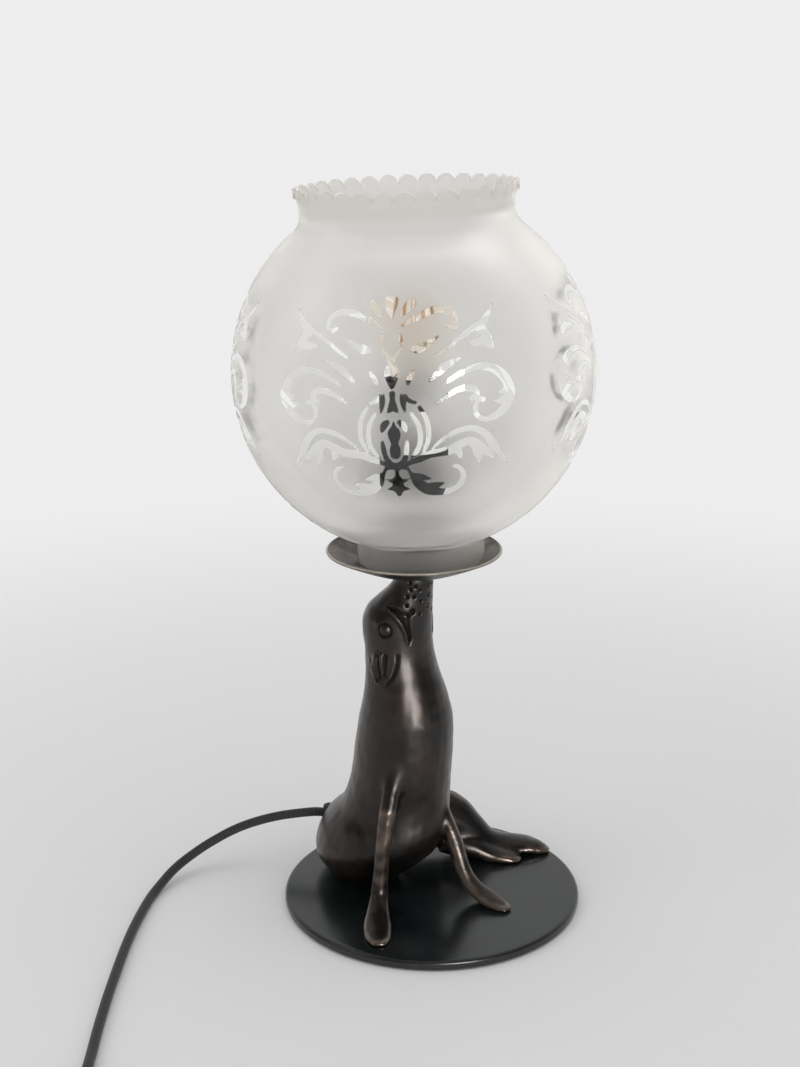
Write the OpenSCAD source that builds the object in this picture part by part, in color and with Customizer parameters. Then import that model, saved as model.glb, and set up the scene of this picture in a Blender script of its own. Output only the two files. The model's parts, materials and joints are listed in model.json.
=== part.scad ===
// Table lamp: a cast sea lion on a round base balances a dish and a glass globe on its nose.
// Millimetres. Z is up, the table is z = 0 and the globe's axis is x = 0, y = 0.
// The viewer's side is -Y.

/* [Base] */
// Radius of the round base plate
base_r = 88; // [80:1:110]
// Thickness of the base plate
plate_t = 5; // [4:0.5:10]
// Thickness of the felt under the plate
felt_t = 1; // [0.6:0.1:2]
// Distance of the plate's centre to the right of the globe's axis
base_dx = 10; // [4:1:16]
// Radius of the screws through the plate
base_screw_r = 2; // [1.5:0.25:2.25]
// Reach of those screws into the casting
screw_bite = 5; // [4:0.5:8]

/* [Figure] */
// Height of the nose above the base plate
seal_h = 199; // [185:1:215]
// Wall of the hollow casting
seal_wall = 4; // [3:0.5:5]
// Thickness of the casting's closed bottom
seal_floor = 9; // [8:1:12]
// Depth of the threaded hole in the nose
nose_bore_h = 22; // [18:1:26]

/* [Dish] */
// Radius of the dish at its rim
dish_r = 50; // [46:1:60]
// Rise of the dish from its flat middle to its edge
dish_sag = 12.6; // [10:0.2:14]
// Curve of that rise: 1 is a straight cone
dish_curve = 1.25; // [1:0.05:1.6]
// Height of the outer face of the edge
dish_edge = 0.6; // [0.4:0.1:1]
// Thickness of the dish
dish_t = 1.2; // [0.8:0.1:2]
// Radius of the flat middle of the dish
dish_flat_r = 18; // [17:0.5:20]

/* [Glass globe] */
// Radius of the globe
globe_r = 100; // [95:1:108]
// Height of the globe's centre above the nose
globe_rise = 115; // [110:1:125]
// Lean of the loose globe in its dish, to the left
globe_lean = 2.2; // [0:0.1:2.5]
// Thickness of the glass
glass_t = 2.6; // [2:0.1:3.5]
// Outer radius of the bottom neck
foot_r = 36; // [34:0.5:38]
// Outer radius of the top neck
neck_r = 58; // [52:1:64]
// Height of the top neck up to the valleys of its rim
neck_h = 15; // [8:1:20]
// Number of scallops round the rim
scallops = 34; // [24:1:44]
// Outward lean of the rim
rim_flare = 3; // [1:0.5:5]

/* [Lampholder] */
// Radius of the threaded nipple
nipple_r = 5; // [4:0.5:5.5]
// Radius of the nipple's bore
nipple_bore_r = 3.4; // [3:0.1:3.6]
// Height of the cover tube between dish and lampholder
riser_h = 40; // [34:1:50]
// Radius of the cover tube
riser_r = 15; // [13:0.5:16]
// Height of the lampholder's cap
cap_h = 16; // [15:0.5:20]
// Height of the lampholder's skirt
skirt_h = 53; // [50:1:58]
// Radius of the lampholder's skirt
skirt_r = 19.2; // [18.4:0.2:20]
// Wall of the cap and the skirt
holder_wall = 2.2; // [1.6:0.2:2.4]
// Inner radius of the threaded shell
shell_r = 13.6; // [13.5:0.05:13.9]
// Height of the bare paper label
label_h = 24; // [15:1:30]

/* [Bulb] */
// Greatest radius of the bulb's glass
bulb_r = 26; // [23:0.5:28]
// Height of the bulb's glass above the lampholder
bulb_h = 66; // [60:1:74]
// Thickness of the bulb's glass
bulb_t = 0.9; // [0.7:0.1:1.2]
// Number of filaments
filaments = 6; // [4:1:8]
// Length of a filament
filament_l = 33.5; // [26:0.5:36]

/* [Cord] */
// Diameter of the cord
cord_d = 5.5; // [5:0.1:5.8]
// Height of the cord's hole above the base plate
cord_exit_h = 29; // [27:0.5:31]
// Gap between the turns of the coil
turn_gap = 0.6; // [0.5:0.05:0.8]
// Smallest radius of the coil
coil_inner_r = 23; // [22.5:0.1:24]

/* [Switch and plug] */
// Length of the in-line switch
switch_l = 64; // [60:1:70]
// Width of the in-line switch
switch_w = 26; // [24:0.5:30]
// Height of each half of the switch case
half_h = 9; // [8.5:0.25:10]
// Wall of the switch case
switch_wall = 1.8; // [1.4:0.1:2]
// Swing of the rocker to each side
rocker_tilt = 10; // [6:0.5:11]
// Length of the plug's body
plug_l = 37; // [34:0.5:42]
// Thickness of the plug's body
plug_t = 14; // [13:0.5:16]
// Radius of a plug pin
pin_r = 2; // [1.9:0.05:2.4]
// Distance between the pins
pin_pitch = 18.6; // [17.5:0.1:19]
// Length of a pin outside the plug
pin_l = 19; // [17:0.5:20]

/* [Fits] */
// Gap round a screwed or pushed-in piece
fit_gap = 0.05; // [0.02:0.01:0.1]
// Gap round a piece that is slipped over another
slip_gap = 0.2; // [0.1:0.05:0.3]
// Gap between pieces that move past each other
run_gap = 0.3; // [0.25:0.05:0.5]
// Extra room under the leaning globe
lean_gap = 0.5; // [0.1:0.05:0.3]

/* [Hidden] */
$fn = 96;

// Heights of the stack
plate_top = felt_t + plate_t;
nose_top = plate_top + seal_h;
dish_top = nose_top + dish_t;
cap_z = dish_top + riser_h;
skirt_z = cap_z + cap_h;
holder_top = skirt_z + skirt_h;

// Casting as drawn: height above the plate, centre x, y, half depth, half width, facing angle
torso = [
    [0, -31, 19, 20, 19, 35], [6, -31.6, 20.4, 29, 24, 35], [14, -28.6, 20.2, 37, 30.4, 36],
    [26, -22.4, 17.6, 42, 34, 38], [38, -17, 15.8, 41, 33.6, 40], [48, -12.2, 13.2, 35.6, 31.2, 40.5],
    [58, -10, 11.4, 32.6, 30.2, 41], [72, -8, 8.6, 30.4, 29.2, 42], [90, -6.4, 7, 29.8, 28.6, 44],
    [108, -5, 6, 28.2, 27.2, 46],
    [124, -5.4, 6, 24.4, 24.4, 50], [140, -7.6, 7, 20.9, 21.5, 54], [154, -9.3, 8, 19.8, 20.8, 57],
    [166, -9.9, 8, 20.6, 20.6, 60], [176, -8.2, 6.5, 19.2, 18.4, 60], [186, -3.4, 3.4, 14.4, 14, 60],
    [194, -0.2, 0.4, 11.4, 11.4, 60], [199, 0, 0, 10.8, 10.8, 60]
];
drawn_h = torso[len(torso) - 1][0];
// Limbs: x, y, height above the plate, half breadth and half thickness
right_arm = [
    [-3, -12.5, 98, 3.4, 3.4], [-8.5, -17, 88, 4.6, 4.6], [-13, -22.4, 74, 5.2, 5.6],
    [-16, -26.3, 56, 5.2, 5.6],
    [-18, -28, 40, 4.9, 5.3], [-19.5, -28.5, 24, 4.8, 5], [-20.5, -30, 10, 5.5, 5],
    [-21, -40, 4, 7, 4], [-21, -54, 2, 8.6, 3.6], [-20, -66, 1.4, 7.6, 2.8], [-19, -73, 1, 4, 1.6]
];
left_arm = [
    [4, 8, 74, 4.4, 4.4], [9, 5, 62, 5, 5], [16.4, -1.5, 48, 5.2, 5.6], [23.5, -8, 33, 4.9, 5.3],
    [28.5, -13, 18, 4.9, 4.9], [35, -17.5, 8.5, 6, 4.6], [42.5, -21.5, 4, 7.6, 4.2],
    [50, -27.5, 2, 6.6, 3], [55.5, -32, 1, 3.4, 1.6]
];
hind_long = [
    [-22, 34, 24, 18, 18], [0, 40, 26, 19, 20], [18, 43, 23, 15, 19], [32, 44, 14, 12, 14],
    [44, 45, 7, 10.5, 9], [56, 46, 5, 10, 6], [70, 46, 4, 10, 4.6], [80, 44, 2, 6, 3], [84, 43, 1, 3, 1.4]
];
hind_short = [
    [16, 38, 12, 9, 9], [34, 36, 8, 9, 8], [46, 34.5, 4, 8, 5.5], [58, 32.5, 2, 7, 3.4], [66, 31, 1, 3.5, 1.5]
];
base_screws_at = [[-36, 26], [-21, -46], [43, -21.8]];

// Cord exit in the back: a point on the hole's axis and the way out
exit_p = [-52, 39, plate_top + cord_exit_h];
exit_a = 176;
bush_out = 5;
bush_in = 14;
bush_r = 4.5;
bush_flange_r = 6;
exit_v = [cos(exit_a), sin(exit_a), 0];
cord_r = cord_d / 2;

// Visible cord: x, y and height as a share of the exit's height
lead_route = [
    [-72, 40.2, 0.965], [-82, 40.2, 0.92], [-90.5, 40, 0.865], [-99, 39.5, 0.795], [-107.5, 38.6, 0.71],
    [-116, 37, 0.605], [-124.5, 34.3, 0.485], [-132.5, 30, 0.375], [-140, 24.5, 0.265], [-145.5, 19, 0.185],
    [-150, 12, 0.12], [-154.5, 2.5, 0.04], [-158, -8.5, 0], [-160, -22, 0], [-161.5, -36, 0],
    [-162.7, -51, 0], [-163.4, -67, 0], [-163.7, -84, 0], [-163.8, -101, 0], [-163.8, -118, 0],
    [-163.5, -135, 0], [-163, -152, 0], [-162.2, -169, 0], [-161.4, -184, 0.03]
];
switch_at = [-160, -216];
coil_at = [-72, -262];
turns_in = 3;
turns_out = 2.75;
pitch = cord_d + turn_gap;
tie_t = 0.9;
tie_w = 10;
tie_angle = -45;
coil_z = cord_r + tie_t + run_gap;
coil_outer_r = coil_inner_r + turns_in * pitch;
coil_end_r = coil_inner_r + turns_out * pitch;
relief_l = 20;
plug_at = [-30, coil_at[1] + coil_end_r];

// Small vector helpers
function unit(v) = v / norm(v);
function mix(a, b, t) = a + (b - a) * t;
function spline(p, i, t) = let (
    a = p[max(i - 1, 0)], b = p[i], c = p[i + 1], d = p[min(i + 2, len(p) - 1)]
) b + (c - a) * (t / 2) + (a * 2 - b * 5 + c * 4 - d) * (t * t / 2)
    + (b * 3 - a - c * 3 + d) * (t * t * t / 2);
function refine(p, n) = concat(
    [for (i = [0:len(p) - 2], k = [0:n - 1]) spline(p, i, k / n)], [p[len(p) - 1]]
);
function tangent(p, i) = unit(p[min(i + 1, len(p) - 1)] - p[max(i - 1, 0)]);
function square_to(t, ref) = unit(ref - t * (ref * t));

// Closed skin over rings of equal point counts
module skin(rings) {
    m = len(rings[0]);
    n = len(rings);
    points = [for (r = rings, p = r) p];
    sides = [for (i = [0:n - 2], k = [0:m - 1], h = [0, 1]) let (
        a = i * m + k, b = i * m + (k + 1) % m
    ) h == 0 ? [a, b, a + m] : [b, b + m, a + m]];
    first = [for (k = [1:m - 2]) [0, k + 1, k]];
    last = [for (k = [1:m - 2]) [(n - 1) * m, (n - 1) * m + k, (n - 1) * m + k + 1]];
    polyhedron(points = points, faces = concat(sides, first, last), convexity = 6);
}

// Ring square to the path, with its first axis nearest to ref
function ring(p, t, ref, a, b, m) = let (s = square_to(t, ref), u = cross(t, s)) [
    for (k = [0:m - 1]) p + s * (a * cos(-360 * k / m)) + u * (b * sin(-360 * k / m))
];

// Round tube along a path
module tube(path, r, ref, m = 10) {
    skin([for (i = [0:len(path) - 1]) ring(path[i], tangent(path, i), ref, r, r, m)]);
}

// Flattened limb along x, y, height, breadth, thickness rows
module limb(rows, ref, m = 14) {
    q = refine(rows, 3);
    path = [for (r = q) [r[0], r[1], r[2]]];
    skin([for (i = [0:len(q) - 1]) ring(path[i], tangent(path, i), ref, q[i][3], q[i][4], m)]);
}

// Level oval section of the torso, shrunk by a wall
function oval(row, wall, m) = let (f = row[5], d = row[3] - wall, w = row[4] - wall) [
    for (k = [0:m - 1]) let (c = cos(-360 * k / m), s = sin(-360 * k / m)) [
        row[1] + d * c * sin(f) + w * s * cos(f),
        row[2] - d * c * cos(f) + w * s * sin(f),
        row[0]
    ]
];

// Screw with a slotted head that stands on z = 0 and points up
module screw(r, head_r, head_h, l) {
    difference() {
        rotate_extrude()
            polygon([[0, 0], [head_r, 0], [head_r, 0.3], [r, head_h], [r, l], [0, l]]);
        translate([-head_r, -0.4, -0.1])
            cube([2 * head_r, 0.8, 0.9]);
    }
}

// Ring of a rectangular section
module hoop(r_in, r_out, h) {
    rotate_extrude()
        translate([r_in, 0])
            square([r_out - r_in, h]);
}

// Bar with round corners
module round_bar(l, w, h, r) {
    translate([-l / 2, -w / 2 + r, 0])
        cube([l, w - 2 * r, h]);
    translate([-l / 2 + r, -w / 2, 0])
        cube([l - 2 * r, w, h]);
    for (x = [-1, 1], y = [-1, 1])
        translate([x * (l / 2 - r), y * (w / 2 - r), 0])
            cylinder(r = r, h = h);
}

// Base

module base_felt() {
    color([0.1, 0.12, 0.1])
    translate([base_dx, 0, 0])
        cylinder(r = base_r - 2, h = felt_t);
}

module base_plate() {
    color([0.06, 0.055, 0.05])
    difference() {
        translate([base_dx, 0, felt_t])
            rotate_extrude()
                polygon([[0, 0], [base_r - 0.6, 0], [base_r, 0.6], [base_r, plate_t - 1],
                    [base_r - 1, plate_t], [0, plate_t]]);
        for (p = base_screws_at)
            translate([p[0], p[1], felt_t])
                rotate_extrude()
                    polygon([[0, -1], [2 * base_screw_r + fit_gap, -1], [2 * base_screw_r + fit_gap, 0.3],
                        [base_screw_r + slip_gap, base_screw_r + 0.5], [base_screw_r + slip_gap, plate_t + 1],
                        [0, plate_t + 1]]);
    }
}

module base_screws() {
    color([0.55, 0.55, 0.52])
    for (p = base_screws_at)
        translate([p[0], p[1], felt_t])
            screw(base_screw_r, 2 * base_screw_r, base_screw_r + 0.3, plate_t + screw_bite);
}

// Figure

// Eye and ear flap on one side of the head, -1 for its right and 1 for its left
module face_side(s) {
    translate([-9.1, 7.4, 168])
        rotate([0, 0, 60]) {
            translate([s * 18.9, 1, 1])
                scale([0.6, 1, 1])
                    sphere(r = 3.6, $fn = 12);
            translate([s * 20, 2.5, -24])
                rotate([8, s * 8, 0])
                    scale([0.45, 0.9, 2])
                        sphere(r = 4.6, $fn = 12);
        }
}

// Outer form and hollow, drawn on z = 0 and stretched to the set height
module seal_form() {
    rows = [for (r = refine(torso, 2)) if (r[0] >= seal_floor && r[0] < drawn_h - 24) r];
    resize([0, 0, seal_h])
        difference() {
            union() {
                skin([for (r = refine(torso, 3)) oval(r, 0, 28)]);
                limb(right_arm, [1, 0.1, 0]);
                limb(left_arm, [0.5, 0.85, 0]);
                limb(hind_long, [0, 1, 0]);
                limb(hind_short, [0.1, 1, 0]);
                face_side(-1);
                face_side(1);
            }
            skin([for (r = rows) oval(r, seal_wall, 18)]);
            translate([0, 0, drawn_h - 30])
                cylinder(r = 3, h = 40, $fn = 12);
            translate([-150, -150, -30])
                cube([300, 300, 30]);
        }
}

module seal_casting() {
    color([0.2, 0.13, 0.08])
    difference() {
        translate([0, 0, plate_top])
            seal_form();
        translate([0, 0, nose_top - nose_bore_h])
            cylinder(r = nipple_r + fit_gap, h = nose_bore_h + 1);
        translate([0, 0, nose_top - 30])
            cylinder(r = nipple_bore_r, h = 20);
        translate(exit_p - exit_v * 22)
            rotate([0, 90, exit_a])
                cylinder(r = bush_r + fit_gap, h = 40);
        translate(exit_p)
            rotate([0, 90, exit_a])
                cylinder(r = bush_flange_r + run_gap, h = 3 * bush_flange_r);
        for (p = base_screws_at)
            translate([p[0], p[1], plate_top - 1])
                cylinder(r = base_screw_r + fit_gap, h = screw_bite + 1);
    }
}

// Nose and dish

module nose_nipple() {
    color([0.72, 0.62, 0.36])
    translate([0, 0, nose_top - nose_bore_h + 1])
        hoop(nipple_bore_r, nipple_r, cap_z + 10 - nose_top + nose_bore_h - 1);
}

// Height of the bowl above its flat middle at a radius
function bowl(r) = let (k = max(r - dish_flat_r, 0) / (dish_r - dish_flat_r)) dish_sag * pow(k, dish_curve);

module globe_dish() {
    color([0.33, 0.29, 0.24])
    translate([0, 0, nose_top])
        rotate_extrude()
            polygon(concat(
                [[nipple_r + slip_gap, 0]],
                [for (k = [0:10]) let (r = mix(dish_flat_r, dish_r, k / 10)) [r, bowl(r)]],
                [[dish_r, dish_sag + dish_edge], [dish_r - dish_t, dish_sag + dish_t]],
                [for (k = [10:-1:0]) let (r = mix(dish_flat_r, dish_r - dish_t, k / 10)) [r, bowl(r) + dish_t]],
                [[nipple_r + slip_gap, dish_t]]
            ));
}

module dish_washer() {
    color([0.6, 0.58, 0.52])
    translate([0, 0, dish_top])
        hoop(nipple_r + slip_gap, nipple_r + 5, 1);
}

module dish_nut() {
    color([0.72, 0.62, 0.36])
    translate([0, 0, dish_top + 1])
        difference() {
            cylinder(r = nipple_r + 3.2, h = 4, $fn = 6);
            translate([0, 0, -1])
                cylinder(r = nipple_r + fit_gap, h = 6);
        }
}

module riser_cover() {
    color([0.05, 0.05, 0.05])
    translate([0, 0, dish_top])
        hoop(riser_r - 1.5, riser_r, riser_h);
}

// Lampholder

block_h = skirt_h - 31;
block_z = skirt_z - 2;
block_top = block_z + block_h + 2;
shell_out_r = shell_r + 0.5;
core_r = 1.1;
term_r = 1.6;
term_h = 4;
term_y = 8.5;
term_x = sqrt(pow(skirt_r - holder_wall - 0.4, 2) - pow(term_y + term_r + 0.1, 2));

module holder_cap() {
    color([0.04, 0.04, 0.04])
    translate([0, 0, cap_z])
        difference() {
            rotate_extrude()
                polygon([[nipple_r + fit_gap, 0], [riser_r, 0], [skirt_r - 1, cap_h - 8], [skirt_r, cap_h - 6],
                    [skirt_r, cap_h], [skirt_r - holder_wall, cap_h], [skirt_r - holder_wall, cap_h - 5],
                    [riser_r - 3, 5], [nipple_r + 3, 5], [nipple_r + 3, 9], [nipple_r + fit_gap, 9]]);
            translate([0, 0, 2.5])
                rotate([0, 90, 30])
                    cylinder(r = 1.5 + fit_gap, h = 40);
        }
}

module lock_screw() {
    color([0.6, 0.58, 0.52])
    translate([0, 0, cap_z + 2.5])
        rotate([0, 90, 30])
            translate([0, 0, nipple_r])
                difference() {
                    cylinder(r = 1.5, h = 8);
                    translate([-2, -0.25, 7])
                        cube([4, 0.5, 2]);
                }
}

module holder_skirt() {
    color([0.04, 0.04, 0.04])
    translate([0, 0, skirt_z])
        rotate_extrude()
            polygon([[skirt_r - holder_wall, 0], [skirt_r, 0], [skirt_r, skirt_h - 3], [skirt_r - 1, skirt_h],
                [shell_out_r + 0.6, skirt_h], [shell_out_r + 0.6, skirt_h - 2],
                [skirt_r - holder_wall, skirt_h - 2]]);
}

module holder_block() {
    color([0.86, 0.84, 0.78])
    difference() {
        translate([0, 0, block_z])
            cylinder(r = skirt_r - holder_wall - 0.1, h = block_h + 2);
        for (s = [-1, 1])
            translate([0, s * term_y, block_z - 1])
                cylinder(r = core_r + 0.7, h = 9);
        for (s = [-1, 1])
            translate([0, s * term_y, block_z + term_h])
                rotate([0, 90, 0])
                    cylinder(r = term_r + fit_gap, h = 30);
    }
}

module holder_shell() {
    color([0.78, 0.66, 0.34])
    translate([0, 0, block_top])
        difference() {
            union() {
                hoop(shell_r, shell_out_r, 28);
                for (k = [0:5])
                    translate([0, 0, 5 + 3.6 * k])
                        rotate_extrude()
                            polygon([[shell_out_r - 0.2, -1], [shell_out_r + 0.4, 0], [shell_out_r - 0.2, 1]]);
            }
            rotate([0, 0, 180])
                translate([0, -3, -1])
                    cube([20, 6, 6]);
        }
}

module holder_ring() {
    color([0.04, 0.04, 0.04])
    translate([0, 0, block_top + 22])
        hoop(shell_out_r + 0.6, skirt_r - holder_wall - 0.1, 4);
}

module centre_contact() {
    color([0.78, 0.66, 0.34])
    translate([0, 0, block_top]) {
        translate([-3, -8, 0])
            cube([6, 12, 0.5]);
        translate([-3, -1, 0.5])
            cube([6, 5, 1.3]);
    }
}

module side_contact() {
    color([0.78, 0.66, 0.34])
    translate([-shell_out_r + 0.2, -2.4, block_top])
        cube([1.2, 4.8, 4.6]);
}

module terminal_screws() {
    color([0.6, 0.58, 0.52])
    for (s = [-1, 1])
        translate([term_x, s * term_y, block_z + term_h])
            rotate([0, -90, 0])
                difference() {
                    cylinder(r = term_r, h = 9);
                    translate([-2, -0.25, -1])
                        cube([4, 0.5, 1.8]);
                }
}

module holder_label() {
    color([0.82, 0.81, 0.77])
    translate([0, 0, holder_top - 14 - label_h])
        rotate([0, 0, -110])
            rotate_extrude(angle = 100)
                translate([skirt_r, 0])
                    square([0.15, label_h]);
}

// Wires inside

wire_split = cap_z + 9.5;
core_end = block_z + term_h;

module core(s) {
    bend = [[1.4, 0.15], [1.5, 0.75], [1.9, 1.3], [3, 1.95], [4.9, 2.3], [6.85, 2.65], [8, 3.3], [8.4, 4]];
    tube(refine(concat(
        [for (p = bend) [0, s * p[0], wire_split + p[1]]],
        [[0, s * term_y, wire_split + 4.8], [0, s * term_y, core_end]]
    ), 2), core_r, [1, 0, 0], 8);
}

module live_core() {
    color([0.36, 0.2, 0.12])
    core(1);
}

module neutral_core() {
    color([0.12, 0.2, 0.42])
    core(-1);
}

module inner_cord() {
    h = seal_h;
    color([0.03, 0.03, 0.03])
    tube(refine([
        exit_p - exit_v * bush_in, exit_p - exit_v * (bush_in + 4), [-27, 33, plate_top + 0.16 * h],
        [-18, 22, plate_top + 0.2 * h], [-12, 14, plate_top + 0.27 * h], [-8, 9, plate_top + 0.36 * h],
        [-6, 7, plate_top + 0.5 * h], [-6, 7, plate_top + 0.64 * h], [-6, 6, plate_top + 0.74 * h],
        [-3, 3, plate_top + 0.81 * h], [0, 0, plate_top + 0.87 * h], [0, 0, nose_top - nose_bore_h + 8],
        [0, 0, nose_top], [0, 0, mix(nose_top, wire_split, 0.5)], [0, 0, wire_split]
    ], 2), cord_r - 0.05, [0.7, 0.71, 0]);
}

module cord_bush() {
    color([0.04, 0.04, 0.04])
    translate(exit_p)
        rotate([0, 90, exit_a])
            translate([0, 0, -bush_in])
                rotate_extrude()
                    polygon([[cord_r + fit_gap, 0], [bush_r, 0], [bush_r, bush_in],
                        [bush_flange_r, bush_in + 0.6], [bush_flange_r, bush_in + 2.6],
                        [bush_flange_r - 1, bush_in + bush_out],
                        [cord_r + fit_gap, bush_in + bush_out]]);
}

// Bulb

tip_z = block_top + 2.1 + run_gap;
cap_top = holder_top + 1;
waist_r = 12.6;

module bulb_contact() {
    color([0.7, 0.7, 0.68])
    translate([0, 0, tip_z])
        rotate_extrude()
            polygon([[0, 0], [3.5, 0], [4.6, 0.8], [4.6, 1.6], [0, 1.6]]);
}

module bulb_insulator() {
    color([0.05, 0.05, 0.06])
    translate([0, 0, tip_z + 1.6])
        rotate_extrude()
            polygon([[0, 0], [4.8, 0], [9, 2.6], [0, 2.6]]);
}

module bulb_cap() {
    color([0.75, 0.74, 0.7])
    translate([0, 0, tip_z + 4.2])
        rotate_extrude()
            polygon(concat(
                [[0, 0], [9, 0], [12, 2]],
                [for (k = [0:4], j = [0:2]) [12.2 + (j == 1 ? 0.9 : 0), 3 + 3.4 * k + 1.13 * j]],
                [[12.2, 20.4], [waist_r, cap_top - tip_z - 4.2], [11.7, cap_top - tip_z - 4.2],
                    [11.5, 19], [11.3, 3], [8, 1], [0, 1]]
            ));
}

// Outline radius of the bulb's glass at a share of its height
function bulb_out(k) = k < 0.5
    ? mix(waist_r, bulb_r, (1 - cos(360 * k)) / 2)
    : bulb_r * sqrt(max(0, 1 - pow((k - 0.5) / 0.5, 2)));

module bulb_glass() {
    h = bulb_h - 1;
    color([0.85, 0.88, 0.88, 0.4])
    translate([0, 0, cap_top])
        rotate_extrude()
            polygon(concat(
                [for (k = [0:24]) let (u = k / 24) [bulb_out(u), u * h]],
                [for (k = [24:-1:0]) let (u = k / 24) [max(bulb_out(u) - bulb_t, 0), min(u * h, h - bulb_t)]]
            ));
}

stem_top = cap_top + 12;
post_r = 1.5;
filament_r = 0.9;
filament_lean = 10;
filament_ring_r = 13;
filament_z = stem_top + 8;
filament_top = filament_z + filament_l * cos(filament_lean);
filament_top_r = filament_ring_r - filament_l * sin(filament_lean);
end_dip = filament_r * sin(filament_lean) + fit_gap;
post_top = filament_top + 1.5;

module bulb_stem() {
    color([0.85, 0.88, 0.88, 0.4])
    translate([0, 0, cap_top])
        rotate_extrude()
            polygon([[0, 0], [11.6, 0], [11.6, 1], [6, 5], [3.4, stem_top - cap_top],
                [post_r, stem_top - cap_top + 3], [post_r, post_top - cap_top], [0, post_top - cap_top]]);
}

module bulb_filaments() {
    color([0.9, 0.62, 0.2])
    for (k = [0:filaments - 1])
        rotate([0, 0, 360 * k / filaments])
            translate([filament_ring_r, 0, filament_z])
                rotate([0, -filament_lean, 0])
                    cylinder(r = filament_r, h = filament_l);
}

// Six thin wires out from a ring on the post
module wire_star(z, reach) {
    translate([0, 0, z]) {
        hoop(post_r, post_r + 0.6, 0.5);
        for (k = [0:filaments - 1])
            rotate([0, 0, 360 * k / filaments])
                translate([post_r + 0.4, -0.25, 0])
                    cube([reach - post_r - 0.4, 0.5, 0.5]);
    }
}

module bulb_wires() {
    color([0.66, 0.66, 0.66]) {
        wire_star(filament_z - 0.5 - end_dip, filament_ring_r + filament_r);
        wire_star(filament_top + end_dip, filament_top_r + filament_r);
    }
}

// Globe

globe_z = nose_top + globe_rise;
foot_z = nose_top + bowl(foot_r) + dish_t + run_gap + lean_gap;
foot_meet = globe_z - sqrt(pow(globe_r, 2) - pow(foot_r, 2));
neck_meet = globe_z + sqrt(pow(globe_r, 2) - pow(neck_r, 2));
rim_z = neck_meet + neck_h;
petal_w = 2 * PI * (neck_r + rim_flare) / scallops;
petal_h = petal_w / 2;

// Points of an arc of the globe's section between two heights
function arc_points(r, z0, z1, n) = [
    for (k = [0:n]) let (z = mix(z0, z1, k / n)) [sqrt(max(0, r * r - pow(z - globe_z, 2))), z]
];

module globe_body() {
    in_r = globe_r - glass_t;
    foot_in = foot_r - glass_t;
    neck_in = neck_r - glass_t;
    rotate_extrude()
        difference() {
            union() {
                translate([0, globe_z])
                    intersection() {
                        circle(r = globe_r);
                        translate([0, foot_meet - globe_z])
                            square([globe_r + 1, neck_meet - foot_meet]);
                    }
                translate([0, foot_z])
                    square([foot_r, foot_meet - foot_z + 1]);
                polygon([[0, neck_meet - 3], [neck_r, neck_meet - 3], [neck_r, rim_z - 4],
                    [neck_r + rim_flare, rim_z + petal_h - 0.1], [0, rim_z + petal_h - 0.1]]);
            }
            translate([0, globe_z])
                intersection() {
                    circle(r = in_r);
                    translate([0, -in_r])
                        square([in_r + 1, 2 * in_r]);
                }
            translate([-1, foot_z - 1])
                square([foot_in + 1, foot_meet - foot_z + 6]);
            polygon([[-1, neck_meet - 6], [neck_in, neck_meet - 6], [neck_in, rim_z - 4],
                [neck_in + rim_flare, rim_z + petal_h + 1], [-1, rim_z + petal_h + 1]]);
        }
}

// Cut between two scallops, round on both sides
module rim_notch() {
    w = petal_w / 2 - 0.5;
    rotate([90, 0, 90])
        translate([0, 0, neck_r - 8])
            linear_extrude(height = 20 + rim_flare)
                polygon(concat(
                    [for (k = [0:6]) let (t = mix(-w, 0, k / 6)) [
                        t, petal_h * sqrt(max(0, 1 - pow((t + petal_w / 2) / (petal_w / 2 + 0.2), 2)))
                    ]],
                    [for (k = [1:6]) let (t = mix(0, w, k / 6)) [
                        t, petal_h * sqrt(max(0, 1 - pow((t - petal_w / 2) / (petal_w / 2 + 0.2), 2)))
                    ]],
                    [[w, petal_h + 3], [-w, petal_h + 3]]
                ));
}

module globe_glass() {
    color([0.93, 0.94, 0.94, 0.8])
    translate([0, 0, globe_z])
        rotate([0, -globe_lean, 0])
            translate([0, 0, -globe_z])
                difference() {
                    globe_body();
                    for (k = [0:scallops - 1])
                        rotate([0, 0, 360 * (k + 0.5) / scallops])
                            translate([0, 0, rim_z])
                                rim_notch();
                }
}

// Cord

function lead_z(k) = cord_r + k * (exit_p[2] - cord_r);
bush_face = exit_p + exit_v * bush_out;
switch_z = half_h;

module cord_lead() {
    route = concat(
        [bush_face, bush_face + exit_v * 6],
        [for (p = lead_route) [p[0], p[1], lead_z(p[2])]],
        [[switch_at[0] - 0.6, switch_at[1] + 18, cord_r + 1.6],
            [switch_at[0], switch_at[1] + 6, switch_z - 0.4], [switch_at[0], switch_at[1], switch_z],
            [switch_at[0], switch_at[1] - 8, switch_z]]
    );
    color([0.03, 0.03, 0.03])
    tube(route, cord_r, [0, 0, 1]);
}

module cord_run() {
    x0 = switch_at[0];
    y0 = switch_at[1] - switch_l;
    x1 = coil_at[0] - coil_outer_r;
    r = (x1 - x0) / 2;
    yc = y0 - 12;
    route = concat(
        [[x0, y0 + 8, switch_z], [x0, y0, switch_z], [x0, y0 - 6, switch_z - 0.6]],
        [for (k = [0:9]) let (a = 180 + 20 * k) [
            x0 + r + r * cos(a), yc + r * sin(a), mix(switch_z - 1.6, coil_z, k / 9)
        ]],
        [[x1, mix(yc, coil_at[1] - cord_d, 0.5), coil_z], [x1, coil_at[1] - cord_d, coil_z]]
    );
    color([0.03, 0.03, 0.03])
    tube(route, cord_r, [0, 0, 1]);
}

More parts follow.
